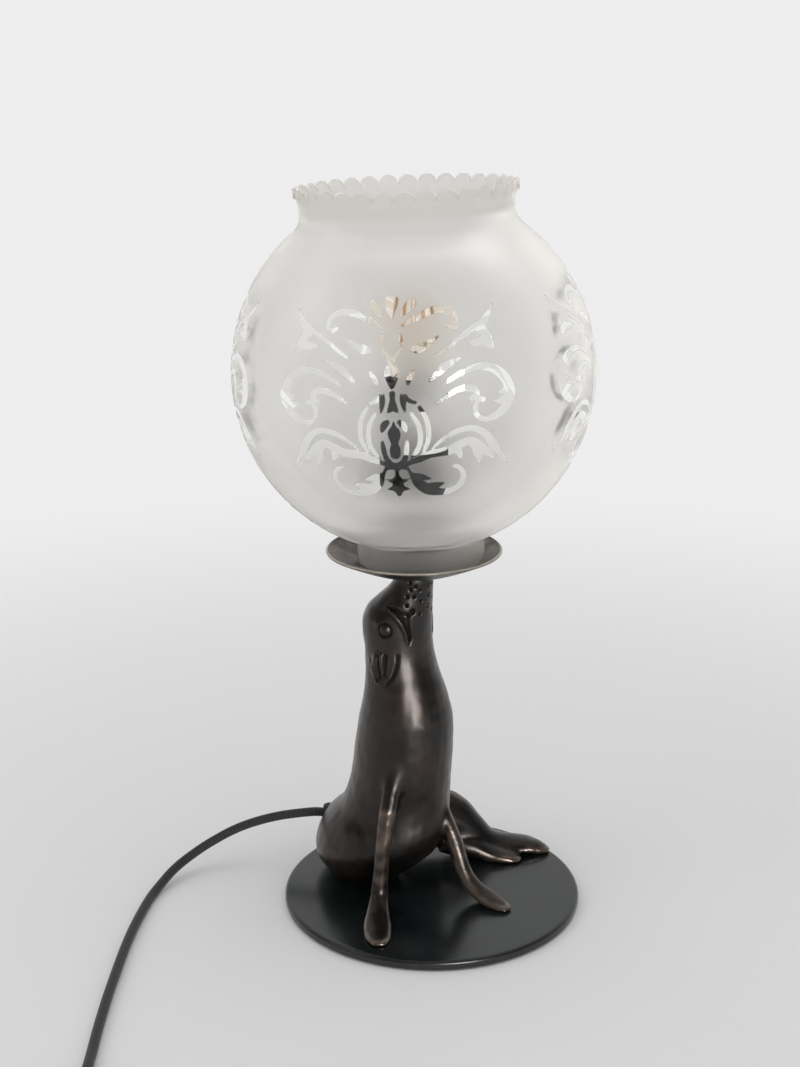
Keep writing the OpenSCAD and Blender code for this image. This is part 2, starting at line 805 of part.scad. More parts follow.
// Coil: three turns in, half a turn up, then out again on the second layer
climb = 0.5;
turns = turns_in + climb + turns_out;
function coil_radius(n) = n < turns_in ? coil_outer_r - pitch * n
    : n < turns_in + climb ? coil_inner_r
    : coil_inner_r + pitch * (n - turns_in - climb);
function coil_rise(n) = pitch * (1 - cos(180 * min(max((n - turns_in) / climb, 0), 1))) / 2;
function coil_point(n) = let (a = 180 - 360 * n, r = coil_radius(n)) [
    coil_at[0] + r * cos(a), coil_at[1] + r * sin(a), coil_z + coil_rise(n)
];
coil_mid = [for (k = [0:24 * turns]) coil_point(k / 24)];
coil_last = coil_mid[len(coil_mid) - 1];
coil_path = concat(
    [coil_mid[0] - [0, cord_d, 0], coil_mid[0] - [0, 0.5, 0]],
    [for (k = [1:len(coil_mid) - 2]) coil_mid[k]],
    [coil_last + [0.5, 0, 0], coil_last + [cord_d, 0, 0]]
);
coil_gap = min([for (i = [0:len(coil_mid) - 14], j = [i + 13:len(coil_mid) - 1])
    norm(coil_mid[i] - coil_mid[j])]) - cord_d;

module cord_coil() {
    echo(str("cord_coil least gap ", coil_gap));
    color([0.03, 0.03, 0.03])
    tube(coil_path, cord_r, [0, 0, 1], 6);
}

module coil_tie() {
    slack = 0.9;
    r0 = coil_inner_r - cord_r - slack;
    r1 = coil_outer_r + cord_r + slack;
    z1 = coil_z + pitch + cord_r + slack;
    color([0.07, 0.07, 0.07])
    translate([coil_at[0], coil_at[1], 0])
        rotate([90, 0, tie_angle])
            translate([0, 0, -tie_w / 2])
                linear_extrude(height = tie_w)
                    difference() {
                        translate([r0 - tie_t, 0])
                            square([r1 - r0 + 2 * tie_t, z1 + tie_t]);
                        translate([r0, tie_t])
                            square([r1 - r0, z1 - tie_t]);
                    }
}

module cord_tail() {
    z0 = coil_last[2];
    x0 = coil_last[0] + cord_d;
    x1 = plug_at[0] - relief_l + 6;
    color([0.03, 0.03, 0.03])
    tube([
        [x0, plug_at[1], z0], [x0 + 3, plug_at[1], z0],
        [mix(x0, x1, 0.4), plug_at[1], mix(z0, plug_t / 2, 0.35)],
        [mix(x0, x1, 0.65), plug_at[1], mix(z0, plug_t / 2, 0.8)], [x1 - 6, plug_at[1], plug_t / 2],
        [x1, plug_at[1], plug_t / 2]
    ], cord_r, [0, 0, 1]);
}

// In-line switch

module in_switch() {
    translate([switch_at[0], switch_at[1] - switch_l / 2, 0])
        rotate([0, 0, 90])
            children();
}

module case_half() {
    end_l = 10;
    difference() {
        round_bar(switch_l, switch_w, half_h, 6);
        translate([-switch_l / 2 + end_l, -switch_w / 2 + switch_wall, switch_wall])
            cube([switch_l - 2 * end_l, switch_w - 2 * switch_wall, half_h]);
        for (s = [-1, 1])
            translate([s * (switch_l / 2 - 8), 0, half_h])
                rotate([0, s * 90, 0])
                    cylinder(r = cord_r + fit_gap, h = 10);
    }
}

screw_x = switch_l / 2 - 5;
screw_y = 7.6;

module switch_lower() {
    color([0.04, 0.04, 0.04])
    in_switch()
        difference() {
            case_half();
            for (s = [-1, 1])
                translate([s * screw_x, s * screw_y, -1]) {
                    cylinder(r = 1.5 + fit_gap, h = half_h + 2);
                    cylinder(r = 2.7 + fit_gap, h = 4);
                }
        }
}

pivot_z = 2 * half_h - 4;
rocker_l = 20;
rocker_w = 12;
window_w = rocker_w + 2 * run_gap;

module switch_upper() {
    color([0.04, 0.04, 0.04])
    in_switch()
        difference() {
            union() {
                translate([0, 0, 2 * half_h])
                    mirror([0, 0, 1])
                        case_half();
                for (s = [-1, 1])
                    translate([-4, s * (window_w / 2 + 1) - 1, pivot_z - 4])
                        cube([8, 2, 2 * half_h - pivot_z + 3]);
            }
            translate([-rocker_l / 2 - 1.6, -window_w / 2, half_h + 1])
                cube([rocker_l + 3.2, window_w, half_h + 2]);
            translate([0, 0, pivot_z])
                rotate([90, 0, 0])
                    translate([0, 0, -window_w / 2 - 1.6])
                        cylinder(r = 1.4 + run_gap, h = window_w + 3.2);
            for (s = [-1, 1])
                translate([s * screw_x, s * screw_y, half_h - 1])
                    cylinder(r = 1.5 + fit_gap, h = 6);
        }
}

module switch_rocker() {
    color([0.05, 0.05, 0.05])
    in_switch()
        translate([0, 0, pivot_z])
            rotate([90, rocker_tilt, 0]) {
                translate([0, 0, -rocker_w / 2])
                    linear_extrude(height = rocker_w)
                        polygon([[-10, 1], [-10, 6.2], [-6, 5.2], [0, 4.7],
                            [6, 5.2], [10, 6.2], [10, 1], [0, -2.5]]);
                translate([0, 0, -rocker_w / 2 - 1.3])
                    cylinder(r = 1.4, h = rocker_w + 2.6);
            }
}

module switch_contacts() {
    color([0.78, 0.66, 0.34])
    in_switch()
        for (s = [-1, 1])
            translate([s * 13 - 6, s * 5 - 2, switch_wall]) {
                cube([12, 4, 1]);
                translate([s > 0 ? 0 : 11, 0, 1])
                    cube([1, 4, 4]);
            }
}

module switch_screws() {
    color([0.6, 0.58, 0.52])
    in_switch()
        for (s = [-1, 1])
            translate([s * screw_x, s * screw_y, 1]) {
                difference() {
                    cylinder(r = 2.7, h = 2);
                    translate([-3, -0.4, -0.1])
                        cube([6, 0.8, 0.9]);
                }
                cylinder(r = 1.5, h = half_h + 2.5);
            }
}

// Plug

pin_root_r = pin_r - 0.2;
pin_neck_r = pin_r - 0.4;

module in_plug() {
    translate([plug_at[0], plug_at[1], plug_t / 2])
        children();
}

module plug_relief() {
    color([0.04, 0.04, 0.04])
    in_plug()
        translate([-relief_l, 0, 0])
            rotate([0, 90, 0])
                difference() {
                    rotate_extrude()
                        polygon([[0, 0], [cord_r + 1.2, 0], [cord_r + 1.4, 1], [5.4, relief_l], [0, relief_l]]);
                    translate([0, 0, -1])
                        cylinder(r = cord_r + fit_gap, h = 7);
                }
}

module plug_body() {
    color([0.04, 0.04, 0.04])
    in_plug()
        difference() {
            translate([0, 0, -plug_t / 2])
                linear_extrude(height = plug_t)
                    polygon([[0, -6.5], [7, -8], [plug_l - 17, -13], [plug_l - 9, -17.2], [plug_l - 2, -17.6],
                        [plug_l, -16.5], [plug_l, 16.5], [plug_l - 2, 17.6], [plug_l - 9, 17.2],
                        [plug_l - 17, 13], [7, 8], [0, 6.5]]);
            for (s = [-1, 1])
                translate([plug_l - 8, s * pin_pitch / 2, 0])
                    rotate([0, 90, 0])
                        cylinder(r = pin_root_r + fit_gap, h = 20);
        }
}

module plug_pins() {
    color([0.75, 0.74, 0.7])
    in_plug()
        for (s = [-1, 1])
            translate([plug_l - 8, s * pin_pitch / 2, 0])
                rotate([0, 90, 0])
                    rotate_extrude()
                        polygon([[0, 0], [pin_root_r, 0], [pin_root_r, 8.2], [pin_neck_r, 8.4],
                            [pin_neck_r, 17.8], [pin_r, 18], [pin_r, 7 + pin_l],
                            [pin_r - 1, 8 + pin_l], [0, 8 + pin_l]]);
}

module pin_sleeves() {
    color([0.04, 0.04, 0.04])
    in_plug()
        for (s = [-1, 1])
            translate([plug_l + 0.4, s * pin_pitch / 2, 0])
                rotate([0, 90, 0])
                    hoop(pin_neck_r + fit_gap, pin_r, 9.2);
}

base_felt();
base_plate();
base_screws();
seal_casting();
nose_nipple();
globe_dish();
dish_washer();
dish_nut();
riser_cover();
holder_cap();
holder_skirt();
holder_block();
holder_shell();
holder_ring();
centre_contact();
side_contact();
terminal_screws();
lock_screw();
holder_label();
live_core();
neutral_core();
inner_cord();
cord_bush();
bulb_glass();
bulb_cap();
bulb_insulator();
bulb_contact();
bulb_stem();
bulb_filaments();
bulb_wires();
globe_glass();
cord_lead();
switch_lower();
switch_upper();
switch_rocker();
switch_contacts();
switch_screws();
cord_run();
cord_coil();
coil_tie();
cord_tail();
plug_relief();
plug_body();
plug_pins();
pin_sleeves();
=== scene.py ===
# Table lamp: a cast sea lion balances a dish and an etched glass globe on its nose.
import json
import math

import bmesh
import bpy
import numpy as np
from mathutils import Matrix, Vector, noise
from mathutils.bvhtree import BVHTree

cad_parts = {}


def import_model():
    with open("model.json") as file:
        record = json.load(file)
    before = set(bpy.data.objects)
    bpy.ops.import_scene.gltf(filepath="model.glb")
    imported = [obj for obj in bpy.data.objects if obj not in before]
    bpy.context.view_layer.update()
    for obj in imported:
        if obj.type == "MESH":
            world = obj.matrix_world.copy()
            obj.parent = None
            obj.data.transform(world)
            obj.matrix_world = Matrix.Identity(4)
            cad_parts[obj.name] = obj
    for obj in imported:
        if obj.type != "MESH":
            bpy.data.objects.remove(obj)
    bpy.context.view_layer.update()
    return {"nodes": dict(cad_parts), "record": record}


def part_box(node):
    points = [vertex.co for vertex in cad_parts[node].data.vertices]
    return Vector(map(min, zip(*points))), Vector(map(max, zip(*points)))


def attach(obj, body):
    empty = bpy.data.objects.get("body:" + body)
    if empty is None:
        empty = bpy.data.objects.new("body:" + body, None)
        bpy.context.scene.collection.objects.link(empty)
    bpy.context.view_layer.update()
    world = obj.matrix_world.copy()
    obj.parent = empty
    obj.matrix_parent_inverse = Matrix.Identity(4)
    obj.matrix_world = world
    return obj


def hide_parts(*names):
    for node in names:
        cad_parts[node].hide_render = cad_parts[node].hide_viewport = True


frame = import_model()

scene = bpy.context.scene
scene.view_settings.view_transform = "Standard"

# Lengths below are millimetres in the lamp's own frame
MM = 0.001


def span(node):
    """Lowest and highest corner of a node, in millimetres."""
    low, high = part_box(node)
    return low / MM, high / MM


PLATE_LOW, PLATE_HIGH = span("base_plate")
PLATE_X = (PLATE_LOW.x + PLATE_HIGH.x) / 2
PLATE_R = (PLATE_HIGH.x - PLATE_LOW.x) / 2
PLATE_TOP = PLATE_HIGH.z
DISH_LOW, DISH_HIGH = span("globe_dish")
DISH_T = 1.2
NOSE_TOP = DISH_LOW.z
GLOBE_LOW, GLOBE_HIGH = span("globe_glass")
GLOBE_R = (GLOBE_HIGH.x - GLOBE_LOW.x) / 2
GLOBE_Z = NOSE_TOP + 115

# Camera

CAMERA_AT = Vector((9.94, -895.76, 489.47)) * MM
CAMERA_YAW = -0.020
CAMERA_PITCH = -0.285
CAMERA_ROLL = -0.005
FOCAL_PX = 1650
PHOTO_W = 800
PHOTO_H = 1067
SENSOR = 36


def camera_axes():
    """Right, up and forward of the camera."""
    level = math.cos(CAMERA_PITCH)
    forward = Vector((math.sin(CAMERA_YAW) * level, math.cos(CAMERA_YAW) * level,
                      math.sin(CAMERA_PITCH)))
    right = Vector((math.cos(CAMERA_YAW), -math.sin(CAMERA_YAW), 0))
    up = right.cross(forward)
    rolled_right = right * math.cos(CAMERA_ROLL) + up * math.sin(CAMERA_ROLL)
    rolled_up = up * math.cos(CAMERA_ROLL) - right * math.sin(CAMERA_ROLL)
    return rolled_right, rolled_up, forward


def sight(px, py):
    """Direction from the camera through a pixel of the photograph."""
    right, up, forward = camera_axes()
    aside = (px - PHOTO_W / 2) / FOCAL_PX
    below = (py - PHOTO_H / 2) / FOCAL_PX
    return forward + right * aside - up * below


def make_camera():
    right, up, forward = camera_axes()
    data = bpy.data.cameras.new("camera")
    data.sensor_width = SENSOR
    data.lens = SENSOR * FOCAL_PX / PHOTO_H
    camera = bpy.data.objects.new("camera", data)
    turn = Matrix((right, up, -forward)).transposed().to_4x4()
    camera.matrix_world = Matrix.Translation(CAMERA_AT) @ turn
    scene.collection.objects.link(camera)
    scene.camera = camera


make_camera()

# Shader tools


class Sock:
    """A shader socket that adds its own Math nodes when it is used in a sum."""

    def __init__(self, finish, socket):
        self.finish = finish
        self.socket = socket

    def math(self, operation, a, b):
        return self.finish.node("Math", {"operation": operation}, {0: a, 1: b})

    def __add__(self, other):
        return self.math("ADD", self, other)

    def __sub__(self, other):
        return self.math("SUBTRACT", self, other)

    def __mul__(self, other):
        return self.math("MULTIPLY", self, other)

    def __truediv__(self, other):
        return self.math("DIVIDE", self, other)

    def __pow__(self, other):
        return self.math("POWER", self, other)

    def __rsub__(self, other):
        return self.math("SUBTRACT", other, self)

    __radd__ = __add__
    __rmul__ = __mul__


class Finish:
    """Nodes of one material or of the world, written as expressions on sockets."""

    def __init__(self, owner, coordinates="Object"):
        owner.use_nodes = True
        self.owner = owner
        self.tree = owner.node_tree
        self.tree.nodes.clear()
        self.place = self.node("TexCoord", {}, {}, coordinates)

    def node(self, kind, settings, sockets, out=0):
        """Adds a node: its settings are set first, then its sockets take values or links."""
        made = self.tree.nodes.new("ShaderNode" + kind)
        for key, value in settings.items():
            setattr(made, key, value)
        for key, value in sockets.items():
            if isinstance(value, Sock):
                self.tree.links.new(value.socket, made.inputs[key])
            else:
                made.inputs[key].default_value = value
        return Sock(self, made.outputs[out]) if made.outputs else None

    def stretched(self, x, y, z):
        """Object coordinates, stretched along the axes."""
        return self.node("VectorMath", {"operation": "MULTIPLY"}, {0: self.place, 1: (x, y, z)})

    def noise(self, scale, detail, at=None):
        return self.node("TexNoise", {},
                         {"Vector": at or self.place, "Scale": scale, "Detail": detail})

    def axis(self, name, at=None):
        return self.node("SeparateXYZ", {}, {0: at or self.place}, name)

    def ease(self, value, low, high):
        """0 below low, 1 above high and smooth between."""
        return self.node("MapRange", {"interpolation_type": "SMOOTHSTEP"},
                         {0: value, 1: low, 2: high})

    def between(self, value, low, high):
        """Number from low to high as the value goes from 0 to 1."""
        return self.node("MapRange", {}, {0: value, 3: low, 4: high})

    def blend(self, first, second, factor):
        """Colour between two colours."""
        return self.node("Mix", {"data_type": "RGBA"}, {0: factor, 6: first, 7: second}, 2)

    def grown(self, name):
        """A number stored on the piece's vertices."""
        return self.node("Attribute", {"attribute_name": name}, {}, "Fac")

    def bump(self, height, depth):
        """Normal for a height that is 0 to 1, depth millimetres deep."""
        return self.node("Bump", {}, {"Strength": 1.0, "Distance": depth * MM, "Height": height})

    def surface(self, **sockets):
        """Principled shader; an underscore in a name stands for a space."""
        named = {key.replace("_", " "): value for key, value in sockets.items()}
        return self.node("BsdfPrincipled", {}, named)

    def done(self, shader):
        self.node("OutputMaterial", {}, {"Surface": shader})
        return self.owner


def new_finish(name):
    return Finish(bpy.data.materials.new(name))


def rgb(red, green, blue):
    return red, green, blue, 1.0


def made_of(obj, material):
    """Gives a piece or a CAD node its material."""
    obj.data.materials.clear()
    obj.data.materials.append(material)


# Finishes


PLAIN_UNEVEN = 0.07
PLAIN_GRAIN = 0.03


def plain_finish(name, light, dark, rough, metal=0.0, grain=900.0, coat=0.0, shine=0.5):
    """Everyday material: two close tones in clouds, uneven gloss and a fine grain."""
    f = new_finish(name)
    clouds = f.noise(45, 4)
    fine = f.noise(grain, 2)
    tone = f.blend(dark, light, f.ease(clouds * 0.7 + fine * 0.3, 0.3, 0.7))
    gloss = f.between(f.noise(140, 3), rough - PLAIN_UNEVEN, rough + PLAIN_UNEVEN)
    return f.done(f.surface(Base_Color=tone, Roughness=gloss, Metallic=metal, Coat_Weight=coat,
                            Specular_IOR_Level=shine, Normal=f.bump(fine, PLAIN_GRAIN)))


def bronze_finish():
    """Dark brown patina with cloudy stains, rubbed warm and bright on what stands proud as wear and
    a painted highlight; hollows go near black as patina and painted shade.
    """
    f = new_finish("bronze_patina")
    clouds = f.noise(38, 5)
    streaks = f.noise(60, 3, f.stretched(1, 1, 0.22))
    grain = f.noise(620, 3)
    # Rubbed wear on what stands proud, made bright enough to serve as a painted highlight
    rubbed_and_highlight = f.ease(f.grown("proud") + (clouds - 0.5) * 0.5, 0.45, 1.0)
    # Hollows and chased lines: darker patina and painted shade
    deep = f.ease(f.grown("hollow_patina_and_shade") + (grain - 0.5) * 0.3, 0.25, 0.9)
    brown = f.blend(rgb(0.009, 0.0075, 0.0065), rgb(0.032, 0.021, 0.0155),
                    f.ease(clouds * 0.6 + streaks * 0.4, 0.35, 0.65))
    # Warm rubbed bronze: real wear and a painted highlight
    rubbed = f.blend(brown, rgb(0.21, 0.158, 0.125), rubbed_and_highlight * 0.75)
    # Near black in hollows: patina plus painted shade
    tone = f.blend(rubbed, rgb(0.003, 0.003, 0.003), deep)
    gloss = f.between(streaks * 0.6 + grain * 0.4, 0.26, 0.44) - rubbed_and_highlight * 0.06 + deep * 0.3
    skin = f.bump(grain * 0.5 + f.noise(180, 3) * 0.5, 0.1)
    return f.done(f.surface(Base_Color=tone, Roughness=gloss, Metallic=0.55,
                            Coat_Weight=0.35 - deep * 0.35, Coat_Roughness=0.3,
                            Specular_IOR_Level=0.35, Normal=skin))


def dish_finish():
    """Aged spun metal: rings from the spinning, dark stains, painted shade on the faces turned
    down, a thin bright rim that is worn metal and a painted highlight.
    """
    f = new_finish("aged_dish")
    x = f.axis("X")
    y = f.axis("Y")
    radius = (x * x + y * y) ** 0.5
    rings = f.node("Math", {"operation": "SINE"}, {0: radius * 5200 + f.noise(30, 2) * 6})
    stains = f.noise(120, 5)
    specks = f.ease(f.noise(700, 2), 0.56, 0.7)
    facing = f.axis("Z", f.node("NewGeometry", {}, {}, "Normal"))
    # Faces turned down or sideways, painted dark as shade
    underside_shade = 1 - f.ease(facing, -0.2, 0.15)
    rim_r = DISH_HIGH.x - DISH_T
    # Thin upward-facing top of the rim, painted light: worn metal and a painted highlight
    rim = f.ease(radius / MM, rim_r - 0.2, rim_r + 0.1) * f.ease(facing, 0.0, 0.3)
    tone = f.blend(rgb(0.07, 0.06, 0.052), rgb(0.20, 0.18, 0.155), f.ease(stains, 0.36, 0.64))
    tone = f.blend(tone, rgb(0.03, 0.024, 0.020), specks * 0.6)
    # Painted shade on the underside and outer wall
    tone = f.blend(tone, rgb(0.012, 0.010, 0.009), underside_shade * 0.95)
    tone = f.blend(tone, rgb(0.62, 0.57, 0.50), rim * f.between(stains, 0.4, 1.0))
    gloss = f.between(stains, 0.28, 0.5)
    return f.done(f.surface(Base_Color=tone, Roughness=gloss, Metallic=0.75,
                            Normal=f.bump(rings * 0.5 + 0.5 + specks * 0.6, 0.03)))


def lacquer_finish():
    """Black lacquer, dulled and scuffed, rubbed through in specks along the edge, with a faint
    light band round the edge that is wear and a painted highlight.
    """
    f = new_finish("black_lacquer")
    x = f.axis("X") - PLATE_X * MM
    y = f.axis("Y")
    radius = ((x * x + y * y) ** 0.5) * 1000
    clouds = f.noise(26, 4)
    specks = f.noise(520, 3)
    scuffs = f.noise(150, 4, f.stretched(1, 0.25, 1))
    edge = f.ease(radius, PLATE_R - 1.4, PLATE_R - 0.5)
    bare = f.ease(specks * 0.6 + clouds * 0.4, 0.6, 0.7) * edge
    dust = f.ease(scuffs * 0.6 + specks * 0.4, 0.55, 0.75)
    tone = f.blend(rgb(0.004, 0.006, 0.0065), rgb(0.010, 0.014, 0.0145), f.ease(clouds, 0.35, 0.65))
    tone = f.blend(tone, rgb(0.06, 0.062, 0.06), dust * 0.22)
    # Bare specks along the edge, and a faint light band all round it that is wear and a painted
    # highlight
    tone = f.blend(tone, rgb(0.20, 0.18, 0.155), bare * 0.6 + edge * 0.08)
    gloss = f.between(clouds * 0.5 + scuffs * 0.5, 0.13, 0.34)
    return f.done(f.surface(Base_Color=tone, Roughness=gloss, Metallic=bare * 0.6,
                            Normal=f.bump(specks * 0.5 + scuffs * 0.5, 0.015)))


def felt_finish():
    """Dark green felt with short hairs."""
    f = new_finish("base_felt")
    hairs = f.noise(1500, 4)
    tone = f.blend(rgb(0.02, 0.028, 0.022), rgb(0.05, 0.06, 0.05), hairs)
    return f.done(f.surface(Base_Color=tone, Roughness=0.95, Normal=f.bump(hairs, 0.2)))


YARNS = 8
BRAID_PITCH = 5.0


def braid_finish():
    """Black textile braid: two sets of yarns cross round the cord."""
    f = new_finish("cord_braid")
    along = f.node("UVMap", {"uv_map": "cord"}, {})
    turn = f.axis("X", along) * (2 * math.pi * YARNS)
    run = f.axis("Y", along) * (2 * math.pi / (BRAID_PITCH * MM))
    left = f.node("Math", {"operation": "SINE"}, {0: turn + run})
    right = f.node("Math", {"operation": "SINE"}, {0: turn - run})
    weave = f.ease(left * right, -0.7, 0.7)
    fuzz = f.noise(1800, 2)
    tone = f.blend(rgb(0.009, 0.009, 0.010), rgb(0.034, 0.034, 0.036), weave * 0.7 + fuzz * 0.3)
    return f.done(f.surface(Base_Color=tone, Roughness=0.68 + fuzz * 0.15, Sheen_Weight=0.2,
                            Sheen_Roughness=0.5, Normal=f.bump(weave * 0.8 + fuzz * 0.2, 0.16)))


def etched_glass():
    """Acid-etched outside with the scrollwork left clear."""
    f = new_finish("etched_glass")
    grain = f.noise(1500, 2)
    clouds = f.noise(14, 3)
    white = f.blend(rgb(0.79, 0.776, 0.753), rgb(0.83, 0.816, 0.793), clouds)
    frosted = f.surface(Base_Color=white, Roughness=f.between(clouds, 0.88, 0.98), IOR=1.15,
                        Transmission_Weight=0.82, Normal=f.bump(grain, 0.02))
    ripple = f.bump(f.noise(22, 2), 0.15)
    clear = f.surface(Base_Color=rgb(1, 1, 1), Roughness=0.02, IOR=1.4, Transmission_Weight=1.0,
                      Normal=ripple)
    etched = f.ease(f.grown("etch"), -0.3, 0.3)
    return f.done(f.node("MixShader", {}, {0: etched, 1: clear, 2: frosted}))


def bulb_glass():
    """Clear blown glass with a warm tint."""
    f = new_finish("bulb_glass")
    waves = f.noise(60, 2)
    tone = f.blend(rgb(0.98, 0.93, 0.865), rgb(1.0, 1.0, 1.0), waves * 0.25)
    return f.done(f.surface(Base_Color=tone, Roughness=0.0, IOR=1.45, Transmission_Weight=1.0,
                            Normal=f.bump(waves, 0.06)))


def paper_finish():
    """Bare satin label, a little yellowed, with its fibres."""
    f = new_finish("label_paper")
    fibres = f.noise(900, 3, f.stretched(1, 1, 0.3))
    tone = f.blend(rgb(0.70, 0.70, 0.67), rgb(0.82, 0.82, 0.80),
                   fibres * 0.6 + f.noise(90, 3) * 0.4)
    return f.done(f.surface(Base_Color=tone, Roughness=0.55, Normal=f.bump(fibres, 0.02)))


# One finish for each of the record's material slots
FINISH = {
    "felt": felt_finish(),
    "black_lacquer": lacquer_finish(),
    "bronze": bronze_finish(),
    "aged_metal": dish_finish(),
    "raw_brass": plain_finish("raw_brass", rgb(0.72, 0.56, 0.28), rgb(0.55, 0.41, 0.19), 0.34,
                              metal=1.0),
    "steel": plain_finish("plated_steel", rgb(0.62, 0.62, 0.60), rgb(0.46, 0.46, 0.45), 0.32,
                          metal=1.0),
    "black_plastic": plain_finish("black_plastic", rgb(0.010, 0.010, 0.010),
                                  rgb(0.006, 0.006, 0.006), 0.5, shine=0.12),
    "white_ceramic": plain_finish("white_ceramic", rgb(0.82, 0.80, 0.74), rgb(0.74, 0.72, 0.66),
                                  0.3, coat=0.5),
    "label_paper": paper_finish(),
    "brown_core": plain_finish("brown_core", rgb(0.16, 0.07, 0.035), rgb(0.11, 0.05, 0.025), 0.45),
    "blue_core": plain_finish("blue_core", rgb(0.03, 0.08, 0.26), rgb(0.02, 0.055, 0.19), 0.45),
    "black_cord": braid_finish(),
    "black_rubber": plain_finish("black_rubber", rgb(0.024, 0.024, 0.024),
                                 rgb(0.015, 0.015, 0.015), 0.55),
    "clear_glass": bulb_glass(),
    "frosted_glass": etched_glass(),
    "nickel": plain_finish("nickel", rgb(0.72, 0.70, 0.65), rgb(0.58, 0.56, 0.51), 0.28, metal=1.0),
    "filament": plain_finish("filament", rgb(0.70, 0.44, 0.20), rgb(0.58, 0.33, 0.13), 0.5,
                             grain=2500.0),
}

# Shape tools

SAME_POINT = 1e-7
FLAT_ANGLE = math.radians(1.5)
EDGE_ANGLE = math.radians(32)


def placed(name, bm):
    """New object in the scene from a bmesh."""
    mesh = bpy.data.meshes.new(name)
    bm.to_mesh(mesh)
    bm.free()
    obj = bpy.data.objects.new(name, mesh)
    scene.collection.objects.link(obj)
    return obj


def piece(name, bm, body, slot, *nodes, sharp=35):
    """Turns a bmesh into a piece that rides a body and stands for CAD nodes."""
    obj = placed(name, bm)
    obj.data.shade_smooth()
    obj.data.set_sharp_from_angle(angle=math.radians(sharp))
    made_of(obj, FINISH[slot])
    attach(obj, body)
    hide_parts(*nodes)
    return obj


def eased(outline, radius, steps=4):
    """Closed outline with its corners rounded; points on the axis stay sharp."""
    points = [Vector(p) for p in outline]
    rounded = []
    for i, corner in enumerate(points):
        before = points[i - 1] - corner
        after = points[(i + 1) % len(points)] - corner
        cut = min(radius, 0.45 * before.length, 0.45 * after.length)
        if corner.x < 1e-6:
            rounded.append(corner)
            continue
        start = corner + before.normalized() * cut
        end = corner + after.normalized() * cut
        for k in range(steps + 1):
            t = k / steps
            rounded.append(start * (1 - t) ** 2 + corner * (2 * t * (1 - t)) + end * t * t)
    return rounded


def lathe(outline, steps):
    """Closed outline of radius and height, spun about the Z axis."""
    bm = bmesh.new()
    verts = [bm.verts.new((r * MM, 0, z * MM)) for r, z in outline]
    edges = [bm.edges.new(pair) for pair in zip(verts, verts[1:] + verts[:1])]
    bmesh.ops.spin(bm, geom=verts + edges, cent=(0, 0, 0), axis=(0, 0, 1), angle=2 * math.pi,
                   steps=steps, use_merge=True)
    bmesh.ops.remove_doubles(bm, verts=bm.verts, dist=SAME_POINT)
    bmesh.ops.recalc_face_normals(bm, faces=bm.faces)
    return bm


def turned(bm, matrix):
    """Same bmesh, moved or turned."""
    bmesh.ops.transform(bm, matrix=matrix, verts=bm.verts)
    return bm


def cad_copy(node):
    """Merged copy of a CAD node's mesh."""
    bm = bmesh.new()
    bm.from_mesh(frame["nodes"][node].data)
    bmesh.ops.remove_doubles(bm, verts=bm.verts, dist=1e-6)
    return bm


def softened(node, width, segments=3):
    """Copy of a CAD node with its sharp edges rounded."""
    bm = cad_copy(node)
    bmesh.ops.dissolve_limit(bm, angle_limit=FLAT_ANGLE, verts=bm.verts, edges=bm.edges)
    sharp = [e for e in bm.edges
             if len(e.link_faces) == 2 and e.calc_face_angle() > EDGE_ANGLE]
    bmesh.ops.bevel(bm, geom=sharp, offset=width * MM, segments=segments, profile=0.5,
                    affect="EDGES", clamp_overlap=True, material=-1)
    return bm


# Cords

CORD_D = 5.5
CORD_R = CORD_D / 2
EXIT = Vector((-52, 39, 35))
EXIT_TURN = math.radians(176)
EXIT_WAY = Vector((math.cos(EXIT_TURN), math.sin(EXIT_TURN), 0))
BUSH_OUT = 5
SWITCH_X = -160
SWITCH_Y = -216
SWITCH_L = 64
SWITCH_Z = 9

# Visible cord: x, y and height as a share of the exit's height
LEAD_ROUTE = [
    (-72, 40.2, 0.965), (-82, 40.2, 0.92), (-90.5, 40, 0.865), (-99, 39.5, 0.795),
    (-107.5, 38.6, 0.71), (-116, 37, 0.605), (-124.5, 34.3, 0.485), (-132.5, 30, 0.375),
    (-140, 24.5, 0.265), (-145.5, 19, 0.185), (-150, 12, 0.12), (-154.5, 2.5, 0.04),
    (-158, -8.5, 0), (-160, -22, 0), (-161.5, -36, 0), (-162.7, -51, 0),
    (-163.4, -67, 0), (-163.7, -84, 0), (-163.8, -101, 0), (-163.8, -118, 0),
    (-163.5, -135, 0), (-163, -152, 0), (-162.2, -169, 0), (-161.4, -184, 0.03),
]

# Coil: three turns in, half a turn up, then out again on the second layer
COIL_X = -72
COIL_Y = -262
COIL_INNER_R = 23
TURN_PITCH = CORD_D + 0.6
TURNS_IN = 3
TURNS_UP = 0.5
TURNS_OUT = 2.75
COIL_OUTER_R = COIL_INNER_R + TURNS_IN * TURN_PITCH
COIL_END_R = COIL_INNER_R + TURNS_OUT * TURN_PITCH
COIL_Z = 3.95
PLUG_X = -30
PLUG_Y = COIL_Y + COIL_END_R
PLUG_Z = 7
RELIEF_L = 20

CORD_STEP = 2.4
CORD_SIDES = 18
TURN_POINTS = 24
BEND_POINTS = 9
SOCKET_IN = 6


def between_points(a, b, c, d, t):
    """Point at share t from b to c, on a smooth curve through four points."""
    square = (2 * a - 5 * b + 4 * c - d) * t * t / 2
    cube = (3 * b - a - 3 * c + d) * t ** 3 / 2
    return b + (c - a) * t / 2 + square + cube


